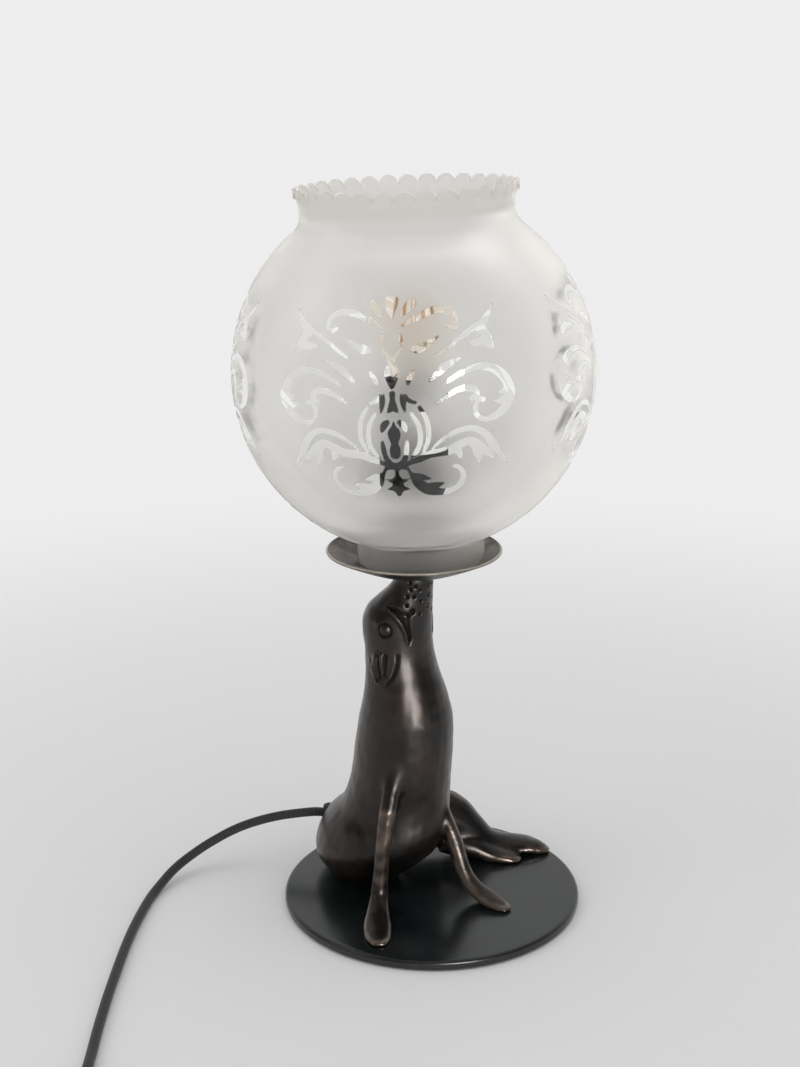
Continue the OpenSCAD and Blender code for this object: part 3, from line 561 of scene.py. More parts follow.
def even_path(points, step):
    """Smooth curve through points, in even steps, in metres."""
    p = np.array([tuple(q) for q in points], float) * MM
    run = np.vstack([2 * p[0] - p[1], p, 2 * p[-1] - p[-2]])
    t = np.linspace(0, 1, 24, endpoint=False)[:, None]
    parts = [between_points(*four, t) for four in zip(run, run[1:], run[2:], run[3:])]
    dense = np.vstack(parts + [p[-1:]])
    far = np.concatenate([[0], np.cumsum(np.linalg.norm(np.diff(dense, axis=0), axis=1))])
    even = np.linspace(0, far[-1], round(far[-1] / (step * MM)) + 1)
    return np.stack([np.interp(even, far, dense[:, k]) for k in range(3)], 1)


def length_of(path):
    return float(np.linalg.norm(np.diff(path, axis=0), axis=1).sum())


def tube(path, radius, sides):
    """Round tube on a path: a grid rolled up ring by ring; its UV map runs round and along."""
    bm = bmesh.new()
    layer = bm.loops.layers.uv.new("cord")
    rings = len(path)
    bmesh.ops.create_grid(bm, x_segments=sides, y_segments=rings - 1, size=1, calc_uvs=True)
    ways = np.gradient(path, axis=0)
    ways /= np.linalg.norm(ways, axis=1)[:, None]
    side = np.cross(ways[0], (0, 0, 1))
    frames = []
    for way in ways:
        side = side - way * (side @ way)
        side /= np.linalg.norm(side)
        frames.append((side, np.cross(way, side)))
    bm.verts.ensure_lookup_table()
    for i, vert in enumerate(bm.verts):
        row, column = divmod(i, sides + 1)
        turn = 2 * math.pi * column / sides
        first, second = frames[row]
        vert.co = Vector(path[row] + (first * math.cos(turn) + second * math.sin(turn)) * radius)
    total = length_of(path)
    for face in bm.faces:
        for loop in face.loops:
            loop[layer].uv.y *= total
    bmesh.ops.remove_doubles(bm, verts=bm.verts, dist=SAME_POINT)
    bmesh.ops.holes_fill(bm, edges=[e for e in bm.edges if e.is_boundary], sides=0)
    bmesh.ops.recalc_face_normals(bm, faces=bm.faces)
    return bm


def lamp_cord_points():
    """From the bush in the casting's back to the switch."""
    face = EXIT + EXIT_WAY * BUSH_OUT
    points = [face - EXIT_WAY * 4, face, face + EXIT_WAY * 6]
    points += [(x, y, CORD_R + k * (EXIT.z - CORD_R)) for x, y, k in LEAD_ROUTE]
    points += [(SWITCH_X - 0.6, SWITCH_Y + 18, CORD_R + 1.6),
               (SWITCH_X, SWITCH_Y + 6, SWITCH_Z - 0.4),
               (SWITCH_X, SWITCH_Y, SWITCH_Z), (SWITCH_X, SWITCH_Y - SOCKET_IN, SWITCH_Z)]
    return points


def coil_point(n):
    """Point n turns along the coil."""
    up = min(max((n - TURNS_IN) / TURNS_UP, 0), 1)
    radius = COIL_INNER_R
    if n < TURNS_IN:
        radius = COIL_OUTER_R - TURN_PITCH * n
    elif n > TURNS_IN + TURNS_UP:
        radius = COIL_INNER_R + TURN_PITCH * (n - TURNS_IN - TURNS_UP)
    turn = math.pi - 2 * math.pi * n
    rise = TURN_PITCH * (1 - math.cos(math.pi * up)) / 2
    return COIL_X + radius * math.cos(turn), COIL_Y + radius * math.sin(turn), COIL_Z + rise


def plug_cord_points():
    """From the switch round a bend into the coil, and out of it to the plug."""
    out_y = SWITCH_Y - SWITCH_L
    coil_start_x = COIL_X - COIL_OUTER_R
    bend_r = (coil_start_x - SWITCH_X) / 2
    bend_y = out_y - 12
    points = [(SWITCH_X, out_y + SOCKET_IN, SWITCH_Z), (SWITCH_X, out_y, SWITCH_Z),
              (SWITCH_X, out_y - 6, SWITCH_Z - 0.6)]
    for k in range(BEND_POINTS + 1):
        turn = math.pi + math.pi * k / BEND_POINTS
        height = SWITCH_Z - 1.6 + (COIL_Z - SWITCH_Z + 1.6) * k / BEND_POINTS
        points.append((SWITCH_X + bend_r + bend_r * math.cos(turn),
                       bend_y + bend_r * math.sin(turn), height))
    coil_in_y = COIL_Y - CORD_D
    points += [(coil_start_x, (bend_y + coil_in_y) / 2, COIL_Z), (coil_start_x, coil_in_y, COIL_Z)]
    total = TURNS_IN + TURNS_UP + TURNS_OUT
    points += [coil_point(k / TURN_POINTS) for k in range(round(TURN_POINTS * total) + 1)]
    x, _, z = points[-1]
    tail_x = x + CORD_D
    end_x = PLUG_X - RELIEF_L + SOCKET_IN
    points += [(tail_x, PLUG_Y, z), (tail_x + 3, PLUG_Y, z)]
    for share, drop in ((0.4, 0.35), (0.65, 0.8)):
        points.append((tail_x + (end_x - tail_x) * share, PLUG_Y, z + (PLUG_Z - z) * drop))
    points += [(end_x - 6, PLUG_Y, PLUG_Z), (end_x, PLUG_Y, PLUG_Z)]
    return points


def cord_piece(name, path, *nodes):
    return piece(name, tube(path, CORD_R * MM, CORD_SIDES), "lamp", "black_cord", *nodes)


lamp_path = even_path(lamp_cord_points(), CORD_STEP)
plug_path = even_path(plug_cord_points(), CORD_STEP)
lamp_cord = cord_piece("lamp_cord", lamp_path, "cord_lead")
plug_cord = cord_piece("plug_cord", plug_path, "cord_run", "cord_coil", "cord_tail")


def coil_strap():
    """Band with round corners round the bundle of turns."""
    width = 10
    thick = 0.9
    slack = 0.9
    corner_r = 4
    corner_cuts = 8
    rim_r = 0.25
    across = math.radians(-45)
    inner = COIL_INNER_R - CORD_R - slack
    outer = COIL_OUTER_R + CORD_R + slack
    top = COIL_Z + TURN_PITCH + CORD_R + slack
    loop = eased([(inner - thick, 0), (outer + thick, 0), (outer + thick, top + thick),
                  (inner - thick, top + thick)], corner_r, corner_cuts)
    bm = bmesh.new()
    verts = [bm.verts.new((p.x * MM, -width / 2 * MM, p.y * MM)) for p in loop]
    edges = [bm.edges.new(pair) for pair in zip(verts, verts[1:] + verts[:1])]
    made = bmesh.ops.extrude_edge_only(bm, edges=edges)["geom"]
    far_side = [g for g in made if isinstance(g, bmesh.types.BMVert)]
    bmesh.ops.translate(bm, vec=(0, width * MM, 0), verts=far_side)
    bmesh.ops.recalc_face_normals(bm, faces=bm.faces)
    bmesh.ops.solidify(bm, geom=bm.faces, thickness=thick * MM)
    rims = [e for e in bm.edges if e.calc_face_angle(0) > 1]
    bmesh.ops.bevel(bm, geom=rims, offset=rim_r * MM, segments=2, profile=0.5, affect="EDGES",
                    material=-1)
    place = Matrix.Translation(Vector((COIL_X, COIL_Y, 0)) * MM)
    place = place @ Matrix.Rotation(across, 4, "Z")
    return piece("coil_strap", turned(bm, place), "lamp", "black_rubber", "coil_tie")


strap = coil_strap()

# In-line switch and plug

switch_pieces = [
    piece("switch_bottom", softened("switch_lower", 1.1), "lamp", "black_plastic", "switch_lower"),
    piece("switch_top", softened("switch_upper", 0.9), "lamp", "black_plastic", "switch_upper"),
]
rocker = piece("rocker_key", softened("switch_rocker", 0.6), "rocker", "black_plastic",
               "switch_rocker")
plug_shell = piece("plug_shell", softened("plug_body", 1.6, 4), "lamp", "black_plastic",
                   "plug_body")


def plug_grip():
    """Tapered strain relief with rings cut into it."""
    rings = 6
    ring_pitch = 3.0
    root_r = 5.4
    bore_r = CORD_R + 0.05
    outline = [(bore_r, 0), (CORD_R + 1.2, 0)]
    for k in range(rings):
        start = 1.2 + ring_pitch * k
        r = CORD_R + 1.35 + 1.25 * start / RELIEF_L
        outline += [(r, start), (r + 0.1, start + 1.8), (r - 0.75, start + 2.0),
                    (r - 0.7, start + 2.8)]
    outline += [(root_r, RELIEF_L - 0.6), (root_r, RELIEF_L), (bore_r, RELIEF_L)]
    along = Matrix.Translation(Vector((PLUG_X - RELIEF_L, PLUG_Y, PLUG_Z)) * MM)
    bm = turned(lathe(eased(outline, 0.25, 2), 48), along @ Matrix.Rotation(math.pi / 2, 4, "Y"))
    return piece("plug_grip", bm, "lamp", "black_rubber", "plug_relief")


grip = plug_grip()

# Base

FINE_SPIN = 192
PLAIN_SPIN = 96


def base_disc():
    """Flat cast disc with a soft edge."""
    low = PLATE_LOW.z
    outline = [(0, low), (PLATE_R - 0.6, low), (PLATE_R, low + 0.6), (PLATE_R, PLATE_TOP - 1.2),
               (PLATE_R - 1.2, PLATE_TOP), (PLATE_R - 5, PLATE_TOP), (0, PLATE_TOP)]
    bm = turned(lathe(eased(outline, 0.9), FINE_SPIN), Matrix.Translation((PLATE_X * MM, 0, 0)))
    return piece("base_disc", bm, "lamp", "black_lacquer", "base_plate")


base_disc()

# Dish, riser and lampholder

DISH_R = DISH_HIGH.x
DISH_FLAT_R = 18
DISH_SAG = 12.6
DISH_CURVE = 1.25
NIPPLE_R = 5.2


def bowl(r):
    """Height of the dish above its flat middle."""
    share = max(r - DISH_FLAT_R, 0) / (DISH_R - DISH_FLAT_R)
    return DISH_SAG * share ** DISH_CURVE


def dish():
    """Spun saucer with a thin bevelled edge."""
    count = 22
    radii = [DISH_FLAT_R + (DISH_R - DISH_FLAT_R) * k / count for k in range(count + 1)]
    outside = [(r, NOSE_TOP + bowl(r)) for r in radii]
    inner = [DISH_FLAT_R + (DISH_R - DISH_T - DISH_FLAT_R) * k / count for k in range(count + 1)]
    inside = [(r, NOSE_TOP + bowl(r) + DISH_T) for r in inner]
    lip = NOSE_TOP + DISH_SAG
    edge = [(DISH_R, lip + 0.45), (DISH_R - 0.2, lip + 0.66),
            (DISH_R - DISH_T + 0.2, lip + DISH_T - 0.06), (DISH_R - DISH_T, lip + DISH_T - 0.12)]
    outline = [(NIPPLE_R, NOSE_TOP)] + outside + edge + inside[::-1]
    outline.append((NIPPLE_R, NOSE_TOP + DISH_T))
    return piece("dish", lathe(outline, FINE_SPIN), "lamp", "aged_metal", "globe_dish", sharp=40)


def holder_part(name, node, outline, radius=0.5):
    """Moulded ring of the lampholder with its corners rounded."""
    bm = lathe(eased(outline, radius), PLAIN_SPIN)
    return piece(name, bm, "lamp", "black_plastic", node)


def lampholder():
    """Riser tube, cap and skirt; the joint between cap and skirt is a groove."""
    riser_low, riser_high = span("riser_cover")
    cap_low, cap_high = span("holder_cap")
    skirt_low, skirt_high = span("holder_skirt")
    riser_r = riser_high.x
    skirt_r = skirt_high.x
    wall = 2.2
    mouth_r = 14.7
    holder_part("riser_tube", "riser_cover", [
        (riser_r - 1.5, riser_low.z), (riser_r, riser_low.z),
        (riser_r, riser_high.z), (riser_r - 1.5, riser_high.z),
    ])
    holder_part("lampholder_cap", "holder_cap", [
        (NIPPLE_R, cap_low.z), (riser_r, cap_low.z),
        (skirt_r - 1, cap_high.z - 8), (skirt_r, cap_high.z - 6),
        (skirt_r, cap_high.z), (skirt_r - wall, cap_high.z), (skirt_r - wall, cap_high.z - 5),
        (riser_r - 3, cap_low.z + 5), (NIPPLE_R, cap_low.z + 5),
    ])
    holder_part("lampholder_skirt", "holder_skirt", [
        (skirt_r - wall, skirt_low.z), (skirt_r, skirt_low.z),
        (skirt_r, skirt_high.z - 3), (skirt_r - 1, skirt_high.z),
        (mouth_r, skirt_high.z), (mouth_r, skirt_high.z - 2), (skirt_r - wall, skirt_high.z - 2),
    ], radius=0.8)


dish()
lampholder()

# Bulb


def bulb_envelope():
    """Blown bulb, narrow at the cap and round above."""
    low, high = span("bulb_glass")
    waist_r = 12.6
    wide_r = high.x
    wall = 0.9
    tall = high.z - low.z
    count = 48

    def radius(k):
        if k < 0.5:
            return waist_r + (wide_r - waist_r) * (1 - math.cos(2 * math.pi * k)) / 2
        return wide_r * math.sqrt(max(0, 1 - ((k - 0.5) / 0.5) ** 2))

    shares = [1 - (1 - k / count) ** 1.6 for k in range(count + 1)]
    outside = [(radius(k), low.z + tall * k) for k in shares]
    inside = [(max(radius(k) - wall, 0), min(low.z + tall * k, high.z - wall)) for k in shares]
    bm = lathe(outside + inside[::-1], PLAIN_SPIN)
    return piece("bulb_envelope", bm, "bulb", "clear_glass", "bulb_glass")


bulb_envelope()

# Globe with its etched scrollwork

GLASS_T = 2.6
FOOT_R = 36
NECK_R = 58
PETALS = 34
RIM_FLARE = 3
NECK_H = 15
PETAL_H = math.pi * (NECK_R + RIM_FLARE) / PETALS
FOOT_LOW = NOSE_TOP + bowl(FOOT_R) + DISH_T + 0.8
FOOT_MEET = GLOBE_Z - math.sqrt(GLOBE_R ** 2 - FOOT_R ** 2)
NECK_MEET = GLOBE_Z + math.sqrt(GLOBE_R ** 2 - NECK_R ** 2)
RIM_Z = NECK_MEET + NECK_H
RIM_TOP = RIM_Z + PETAL_H
ORNAMENT_TURN = math.radians(-95.3)
ORNAMENT_REPEATS = 4
# The band that holds the ornament is cut finely; past its strokes the distance stops at ETCH_REACH
BAND_LOW = -51 / GLOBE_R
BAND_HIGH = 59 / GLOBE_R
BAND_CUTS = 88
ETCH_REACH = 4.0
STROKE_CUTS = 5
PETAL_STEPS = 18
GLOBE_LEAN = math.radians(2.2)

# Half of one motif, left clear in the etching. Each stroke of the brush is a row of
# sideways distance from the motif's axis, height above the globe's middle and half width.
DROP = [
    [(0, -31, 1.2), (0, -35.5, 1.0), (0, -38.6, 2.4), (0, -41, 2.8), (0, -44, 3.0),
     (0, -46.4, 1.7), (0, -48.2, 1.2)],
    [(0, -39.6, 1.8), (3, -39.2, 1.2), (5.6, -38.4, 0.2)],
    [(0, -43.8, 2.2), (3.2, -44.2, 1.3), (6, -44.5, 0.2)],
]
LOWER_LEAF = [
    [(0, -30.4, 2.0), (3.2, -30.6, 1.7), (5.4, -31.8, 1.0), (6.3, -33.6, 0.8), (7.6, -36, 1.3)],
    [(7.6, -36, 1.3), (10.4, -41, 2.8), (14.8, -45.4, 3.3), (20, -47.2, 2.5), (25, -47.5, 1.8),
     (30.4, -44.4, 1.7), (33, -40, 1.6), (33.2, -36, 1.5), (31.6, -33, 1.4), (29, -31.8, 1.2)],
    [(8.6, -36.4, 1.9), (12.5, -37.4, 1.9), (17.6, -39, 0.2)],
    [(14, -44, 2.6), (19, -42.9, 2.0), (24, -41.3, 0.2)],
    [(20, -47.4, 1.8), (24, -46.8, 1.5), (27, -45.2, 0.3)],
]
STRAPS = [
    [(0, -30.2, 1.6), (3, -28.8, 1.6), (5, -25, 1.2), (5.8, -20.5, 1.3), (6.2, -16.6, 0.8)],
    [(0, -6.2, 0.4), (0, -9.6, 1.4), (0, -12.4, 3.2), (0, -15.4, 2.4), (0, -18, 1.8),
     (0, -21, 2.7), (0, -23.6, 2.6)],
    [(3, -6.3, 1.2), (4.8, -8, 1.8), (6, -11, 0.9)],
    [(0, 7.8, 1.6), (0, 5, 1.3), (0.5, 1.2, 1.8), (2.6, -1.4, 0.5)],
    [(4.4, 7.8, 0.5), (5.1, 3.6, 1.4), (6, -1.5, 0.5)],
    [(6.4, 7.4, 0.6), (7.8, 4.6, 1.1), (11.5, 3, 0.8)],
    [(8, -25.4, 0.6), (10.4, -22.6, 1.2), (12.4, -18.6, 1.3), (13, -13, 1.3), (11.8, -7, 1.2),
     (9, -2.2, 0.9)],
    [(13.8, -22.8, 0.7), (16.4, -17.4, 1.3), (17.2, -11.5, 1.4), (16.2, -5, 1.3), (13.2, 0.6, 1.1)],
]
SIDE_LEAF = [
    [(4.6, -29.4, 1.0), (7.4, -28.3, 1.3), (12, -26.5, 1.8), (17, -24.2, 2.1), (22, -23.4, 2.3),
     (27, -22.8, 2.4), (31, -20.6, 2.2)],
    [(19, -20.4, 0.7), (26, -15.2, 1.2), (33, -12.2, 1.5), (40, -12, 1.7), (46.4, -16, 2.2),
     (50.6, -22.4, 2.4), (54.4, -28.6, 1.6), (58.4, -34, 0.3)],
    [(31, -20.6, 2.2), (37, -18.6, 2.4), (41, -21, 3.1), (42, -26, 2.6), (42.4, -31.6, 0.5)],
    [(41.5, -20.5, 2.6), (46.4, -25.4, 2.0), (51, -30.4, 0.3)],
    [(29.5, -21.5, 2.2), (32, -24.6, 1.9), (32.8, -28.4, 0.3)],
]
VOLUTE = [
    [(25.6, 11.6, 0.5), (29, 13.6, 1.2), (36, 17, 1.5), (45, 18.6, 1.8), (53, 16, 2.3),
     (58.6, 10.5, 2.8), (60.6, 4.5, 3.2), (58.4, -1.5, 3.0), (54, -5.8, 2.2), (47.5, -8.2, 1.4),
     (42.6, -6, 1.4), (41, -1.5, 1.4), (43, 2.2, 1.4), (46, 2.2, 1.3)],
    [(58.5, 2, 2.4), (55, 0.5, 1.4), (50.4, 0.6, 0.4)],
    [(59.5, 6, 2.2), (56.5, 5, 1.4), (53.4, 4.6, 0.3)],
    [(18.6, 13.2, 0.5), (22, 16.4, 1.6), (26, 20, 2.0), (31, 22.4, 1.2), (35, 24, 0.4)],
    [(21.6, 1.8, 0.4), (24, 3.4, 0.8), (30, 7.2, 1.4), (36, 9, 1.6), (41, 7.6, 1.8),
     (42, 4.6, 1.7), (39, 3, 1.2)],
]
FINIAL = [
    [(22, 25.4, 0.7), (27, 28.6, 1.1), (34, 33.6, 1.3), (40, 37.4, 1.5), (45.5, 40, 2.0),
     (48.5, 43.5, 1.6), (51.6, 49.6, 0.3)],
    [(44, 38, 2.2), (47.5, 34, 2.4), (49, 30, 2.6), (52, 27, 0.4)],
    [(47, 31, 2.4), (42, 30.5, 1.8), (38.5, 31, 0.4)],
    [(10.6, 42.4, 0.6), (14, 45.2, 1.4), (18.5, 47.8, 1.9), (23.5, 48.6, 1.9), (28.6, 47.4, 1.6),
     (32.2, 44, 1.5), (32.8, 40.6, 1.4), (30.6, 38.8, 1.3), (28, 40, 1.0)],
    [(10.8, 29.4, 1.3), (13.4, 29.6, 2.4), (16.6, 30.6, 1.8), (20, 32.8, 1.3), (23.6, 35.4, 0.3)],
]
PALMETTE = [
    [(0, 45.4, 0.7), (0, 49.4, 2.0), (0, 53.6, 3.7)],
    [(4.6, 46, 0.4), (7.4, 49.4, 1.9), (9.8, 52.4, 2.7)],
    [(5, 41, 0.4), (8.6, 43, 1.3), (11, 46, 0.9)],
    [(4.2, 36.4, 1.0), (4.7, 33.8, 1.2)],
    [(5.2, 31.4, 0.6), (3.4, 28, 0.9), (1.4, 25, 1.1), (0, 23.4, 1.3)],
    [(0, 11.4, 1.2), (0, 14.5, 2.6), (0, 17.6, 3.8), (0, 19, 3.6)],
    [(7.8, 12.6, 0.8), (8.6, 15, 1.4), (10.6, 18.4, 0.9)],
]
MOTIF = DROP + LOWER_LEAF + STRAPS + SIDE_LEAF + VOLUTE + FINIAL + PALMETTE


def flowing(stroke):
    """Stroke with points added along a smooth curve through its rows."""
    rows = np.array(stroke, float)
    rows = np.vstack([rows[0], rows, rows[-1]])
    dense = [between_points(*four, t) for four in zip(rows, rows[1:], rows[2:], rows[3:])
             for t in np.arange(STROKE_CUTS) / STROKE_CUTS]
    return np.array(dense + [rows[-1]])


def brushed(points, stroke):
    """Distance of points from a stroke's edge, negative inside it."""
    rows = flowing(stroke)
    nearest = np.full(len(points), 1e9)
    for start, end in zip(rows, rows[1:]):
        way = end[:2] - start[:2]
        t = np.clip((points - start[:2]) @ way / max(way @ way, 1e-9), 0, 1)
        foot = start[:2] + t[:, None] * way
        reach = np.linalg.norm(points - foot, axis=1) - (start[2] + (end[2] - start[2]) * t)
        nearest = np.minimum(nearest, reach)
    return nearest


def globe_outline():
    """Section of the globe: up the outside, over the rim and down the inside."""
    inner_r = GLOBE_R - GLASS_T
    foot_lat = math.asin((FOOT_MEET - GLOBE_Z) / GLOBE_R)
    neck_lat = math.asin((NECK_MEET - GLOBE_Z) / GLOBE_R)

    def arc(radius, lat_from, lat_to, count):
        lats = np.linspace(lat_from, lat_to, count)
        return [(radius * math.cos(a), GLOBE_Z + radius * math.sin(a)) for a in lats]

    outline = [(FOOT_R - 0.6, FOOT_LOW), (FOOT_R, FOOT_LOW + 0.6)]
    outline += [(FOOT_R, z) for z in np.linspace(FOOT_LOW + 4, FOOT_MEET - 3, 3)]
    outline += [(FOOT_R + 0.4, FOOT_MEET - 1), (FOOT_R + 1.6, FOOT_MEET + 0.6)]
    outline += arc(GLOBE_R, foot_lat + 0.04, BAND_LOW, 12)[:-1]
    outline += arc(GLOBE_R, BAND_LOW, BAND_HIGH, BAND_CUTS)
    outline += arc(GLOBE_R, BAND_HIGH, neck_lat - 0.05, 7)[1:]
    outline += [(NECK_R + 1.4, NECK_MEET + 0.2), (NECK_R + 0.3, NECK_MEET + 2.4),
                (NECK_R, NECK_MEET + 5)]
    outline += [(NECK_R, RIM_Z - 4), (NECK_R + 0.6, RIM_Z - 2)]
    top = RIM_TOP
    lift = RIM_FLARE / (PETAL_H + 4)
    outline += [(NECK_R + lift * (z - RIM_Z + 4), z) for z in np.linspace(RIM_Z, top - 0.7, 6)]
    rim_r = NECK_R + RIM_FLARE
    outline += [(rim_r - 0.5, top - 0.1), (rim_r - GLASS_T / 2, top),
                (rim_r - GLASS_T + 0.5, top - 0.1)]
    outline += [(NECK_R - GLASS_T + lift * (z - RIM_Z + 4), z)
                for z in np.linspace(top - 0.7, RIM_Z, 6)]
    outline += [(NECK_R - GLASS_T, RIM_Z - 4), (NECK_R - GLASS_T, NECK_MEET)]
    inner_neck = math.acos((NECK_R - GLASS_T + 0.8) / inner_r)
    inner_foot = -math.acos((FOOT_R - GLASS_T + 0.8) / inner_r)
    outline += arc(inner_r, inner_neck, inner_foot, 18)
    outline += [(FOOT_R - GLASS_T, FOOT_MEET - 3), (FOOT_R - GLASS_T, FOOT_LOW + 0.6),
                (FOOT_R - GLASS_T + 0.6, FOOT_LOW)]
    return outline


def globe():
    """Spun globe with a rim of petals, which stores the distance from the scrollwork's edge."""
    bm = lathe(globe_outline(), PETALS * PETAL_STEPS)
    mesh = bpy.data.meshes.new("globe_form")
    bm.to_mesh(mesh)
    co = np.zeros(len(mesh.vertices) * 3, np.float32)
    mesh.vertices.foreach_get("co", co)
    bpy.data.meshes.remove(mesh)
    co = co.reshape(-1, 3).astype(float) / MM
    x, y, z = co.T
    turn = np.arctan2(y, x)
    level = np.hypot(x, y)
    latitude = np.arctan2(z - GLOBE_Z, level)
    sector = 2 * math.pi / ORNAMENT_REPEATS
    aside = np.mod(turn - ORNAMENT_TURN + sector / 2, sector) - sector / 2
    flat = np.stack([np.abs(aside) * GLOBE_R * np.cos(latitude), GLOBE_R * latitude], 1)
    outside = np.hypot(level, z - GLOBE_Z) > GLOBE_R - GLASS_T / 2
    etch = np.where(outside, ETCH_REACH, -ETCH_REACH)
    for stroke in MOTIF:
        etch = np.where(outside, np.minimum(etch, brushed(flat, stroke)), etch)
    petal = 2 * math.pi / PETALS
    across = np.mod(turn, petal) / petal * 2 - 1
    dome = np.maximum(np.sqrt(np.maximum(1 - across ** 2, 0)), 0.06)
    in_rim = z > RIM_Z
    z = np.where(in_rim, RIM_Z + (z - RIM_Z) * dome, z)
    layer = bm.verts.layers.float.new("etch")
    bm.verts.ensure_lookup_table()
    for vert, height, value in zip(bm.verts, z, etch):
        vert.co.z = height * MM
        vert[layer] = value
    middle = Vector((0, 0, GLOBE_Z * MM))
    bmesh.ops.rotate(bm, cent=middle, matrix=Matrix.Rotation(-GLOBE_LEAN, 3, "Y"), verts=bm.verts)
    return piece("etched_globe", bm, "globe", "frosted_glass", "globe_glass", sharp=70)


globe()

# Sea lion

VOXEL = 1.1
SKIN_PASSES = 10
SHOULDER_PASSES = 6
HEAD_FROM = 138
UNEVEN = 0.24
UNEVEN_SIZE = 7
FACE_TURN = math.radians(60)
# Bends at which an edge is fully rubbed and painted bright, or a hollow fully dark with patina and
# painted shade; round the shoulder both fade out
PROUD_BEND = 0.05
SUNK_BEND = 0.06
CALM_R = 8
CALM_FADE = 36
# Ball that stops the hollow behind the cord's exit, so that the wrap leaves its walls out
HOLLOW_STOP = (-42, 37, 31)
HOLLOW_STOP_R = 11.5
# Where a limb runs out into the body, and how far round it the skin is blended
SHOULDERS = [((-4, -14, 102), 15), ((-9, -19, 92), 13), ((-12.5, -22.5, 80), 7)]

# Chest behind the near arm as height, middle and radius. Between the heights of ARM_RUN the arm
# sinks into the chest: ARM_SINK of what stands proud goes, on the side that faces forward.
CHEST = [(72, -8, 8.6, 29.8), (90, -6.4, 7, 29.2), (108, -5, 6, 27.7), (124, -5.4, 6, 24.4)]
ARM_RUN = [68, 96, 104, 116]
ARM_SINK = 0.85
FORWARD = [0.75, 0.95]

# Marks on the near side of the head, as pixels of the photograph
MARK_CUTS = 6
EYE_PX = (384.8, 630.6)
LIP_TOP_PX = [(388.3, 607.2), (394.4, 608.9), (400, 612.8), (405.6, 614.4), (409.4, 615.6)]
LIP_BACK_PX = [(409.4, 615.6), (408.3, 620), (408.9, 630), (410.6, 637.8), (408.9, 644.4)]
LIP_MIDDLE_PX = [(394, 609.5), (399.5, 615), (404.5, 622), (407.5, 631), (409.3, 640)]
LIP_FRONT_PX = [(389.5, 609), (394.4, 615.6), (402.2, 625.6), (406.1, 634.4), (408.3, 643.9)]
EAR_BACK_PX = [(370, 661.1), (373.9, 673.3), (377.2, 685.6), (380, 688)]
EAR_FRONT_PX = [(397.8, 656.7), (397.2, 664.4), (394.4, 673.3), (391.1, 680), (387, 684)]
EAR_CHANNEL_PX = [(377, 656), (377.6, 666), (379.6, 677)]
EAR_FOLD_PX = [(381.4, 656.1), (381.2, 664), (382, 673)]
EAR_HOLLOW_PX = [(385.5, 657), (385, 665), (384, 674)]
WHISKER_PX = [
    (410, 582.6), (415.6, 587.2), (410.6, 590), (420, 590.6), (407.2, 596.7), (414.4, 597.2),
    (421.1, 601.1), (406.7, 605.6), (420, 613.9), (428.3, 584.8), (428.9, 594.4), (427.8, 605.6),
]
CHIN_PIT_PX = (412.8, 612.2)

# Chased lines in millimetres: width, height over the skin and how dark they are painted, as patina
# and painted shade
CHASED = [
    (LIP_TOP_PX, 0.8, -0.9, 1.0), (LIP_BACK_PX, 0.9, -1.0, 1.0), (LIP_MIDDLE_PX, 1.1, -0.9, 1.0),
    (LIP_FRONT_PX, 1.1, 0.8, 0.0), (EAR_BACK_PX, 1.0, 0.6, 0.0), (EAR_FRONT_PX, 1.0, -0.9, 1.0),
    (EAR_CHANNEL_PX, 1.2, -0.9, 0.9), (EAR_FOLD_PX, 0.9, 0.6, 0.0), (EAR_HOLLOW_PX, 1.5, -0.8, 0.8),
]
# Pits: radius and depth
PITS = [(pixel, 1.0, 1.2) for pixel in WHISKER_PX] + [(CHIN_PIT_PX, 1.6, 1.5)]
EYE_R = 2.6
EYE_H = 0.9
EYE_RING_R = 3.9
EYE_RING_W = 0.75
EYE_RING_DEPTH = 0.85


def run_out(bm):
    """Sinks the near arm's upper end into the chest."""
    heights, mid_x, mid_y, radii = np.array(CHEST).T
    for vert in bm.verts:
        z = vert.co.z / MM
        if not ARM_RUN[0] < z < ARM_RUN[-1]:
            continue
        middle = Vector((np.interp(z, heights, mid_x), np.interp(z, heights, mid_y), z)) * MM
        out = vert.co - middle
        proud = out.length - np.interp(z, heights, radii) * MM
        facing = np.interp(-out.y / out.length, FORWARD, [0, 1])
        sink = ARM_SINK * facing * np.interp(z, ARM_RUN, [0, 1, 1, 0])
        if proud > 0:
            vert.co = middle + out * (1 - sink * proud / out.length)


def relaxed(bm, verts, passes):
    """Smooths some of a bmesh's vertices."""
    for _ in range(passes):
        bmesh.ops.smooth_vert(bm, verts=verts, factor=0.5, use_axis_x=True, use_axis_y=True,
                              use_axis_z=True)


def stopper(bm, place, radius, length):
    """Rod that fills a bore."""
    bmesh.ops.create_cone(bm, radius1=radius * MM, radius2=radius * MM, depth=length * MM,
                          matrix=place, cap_ends=True, segments=24)


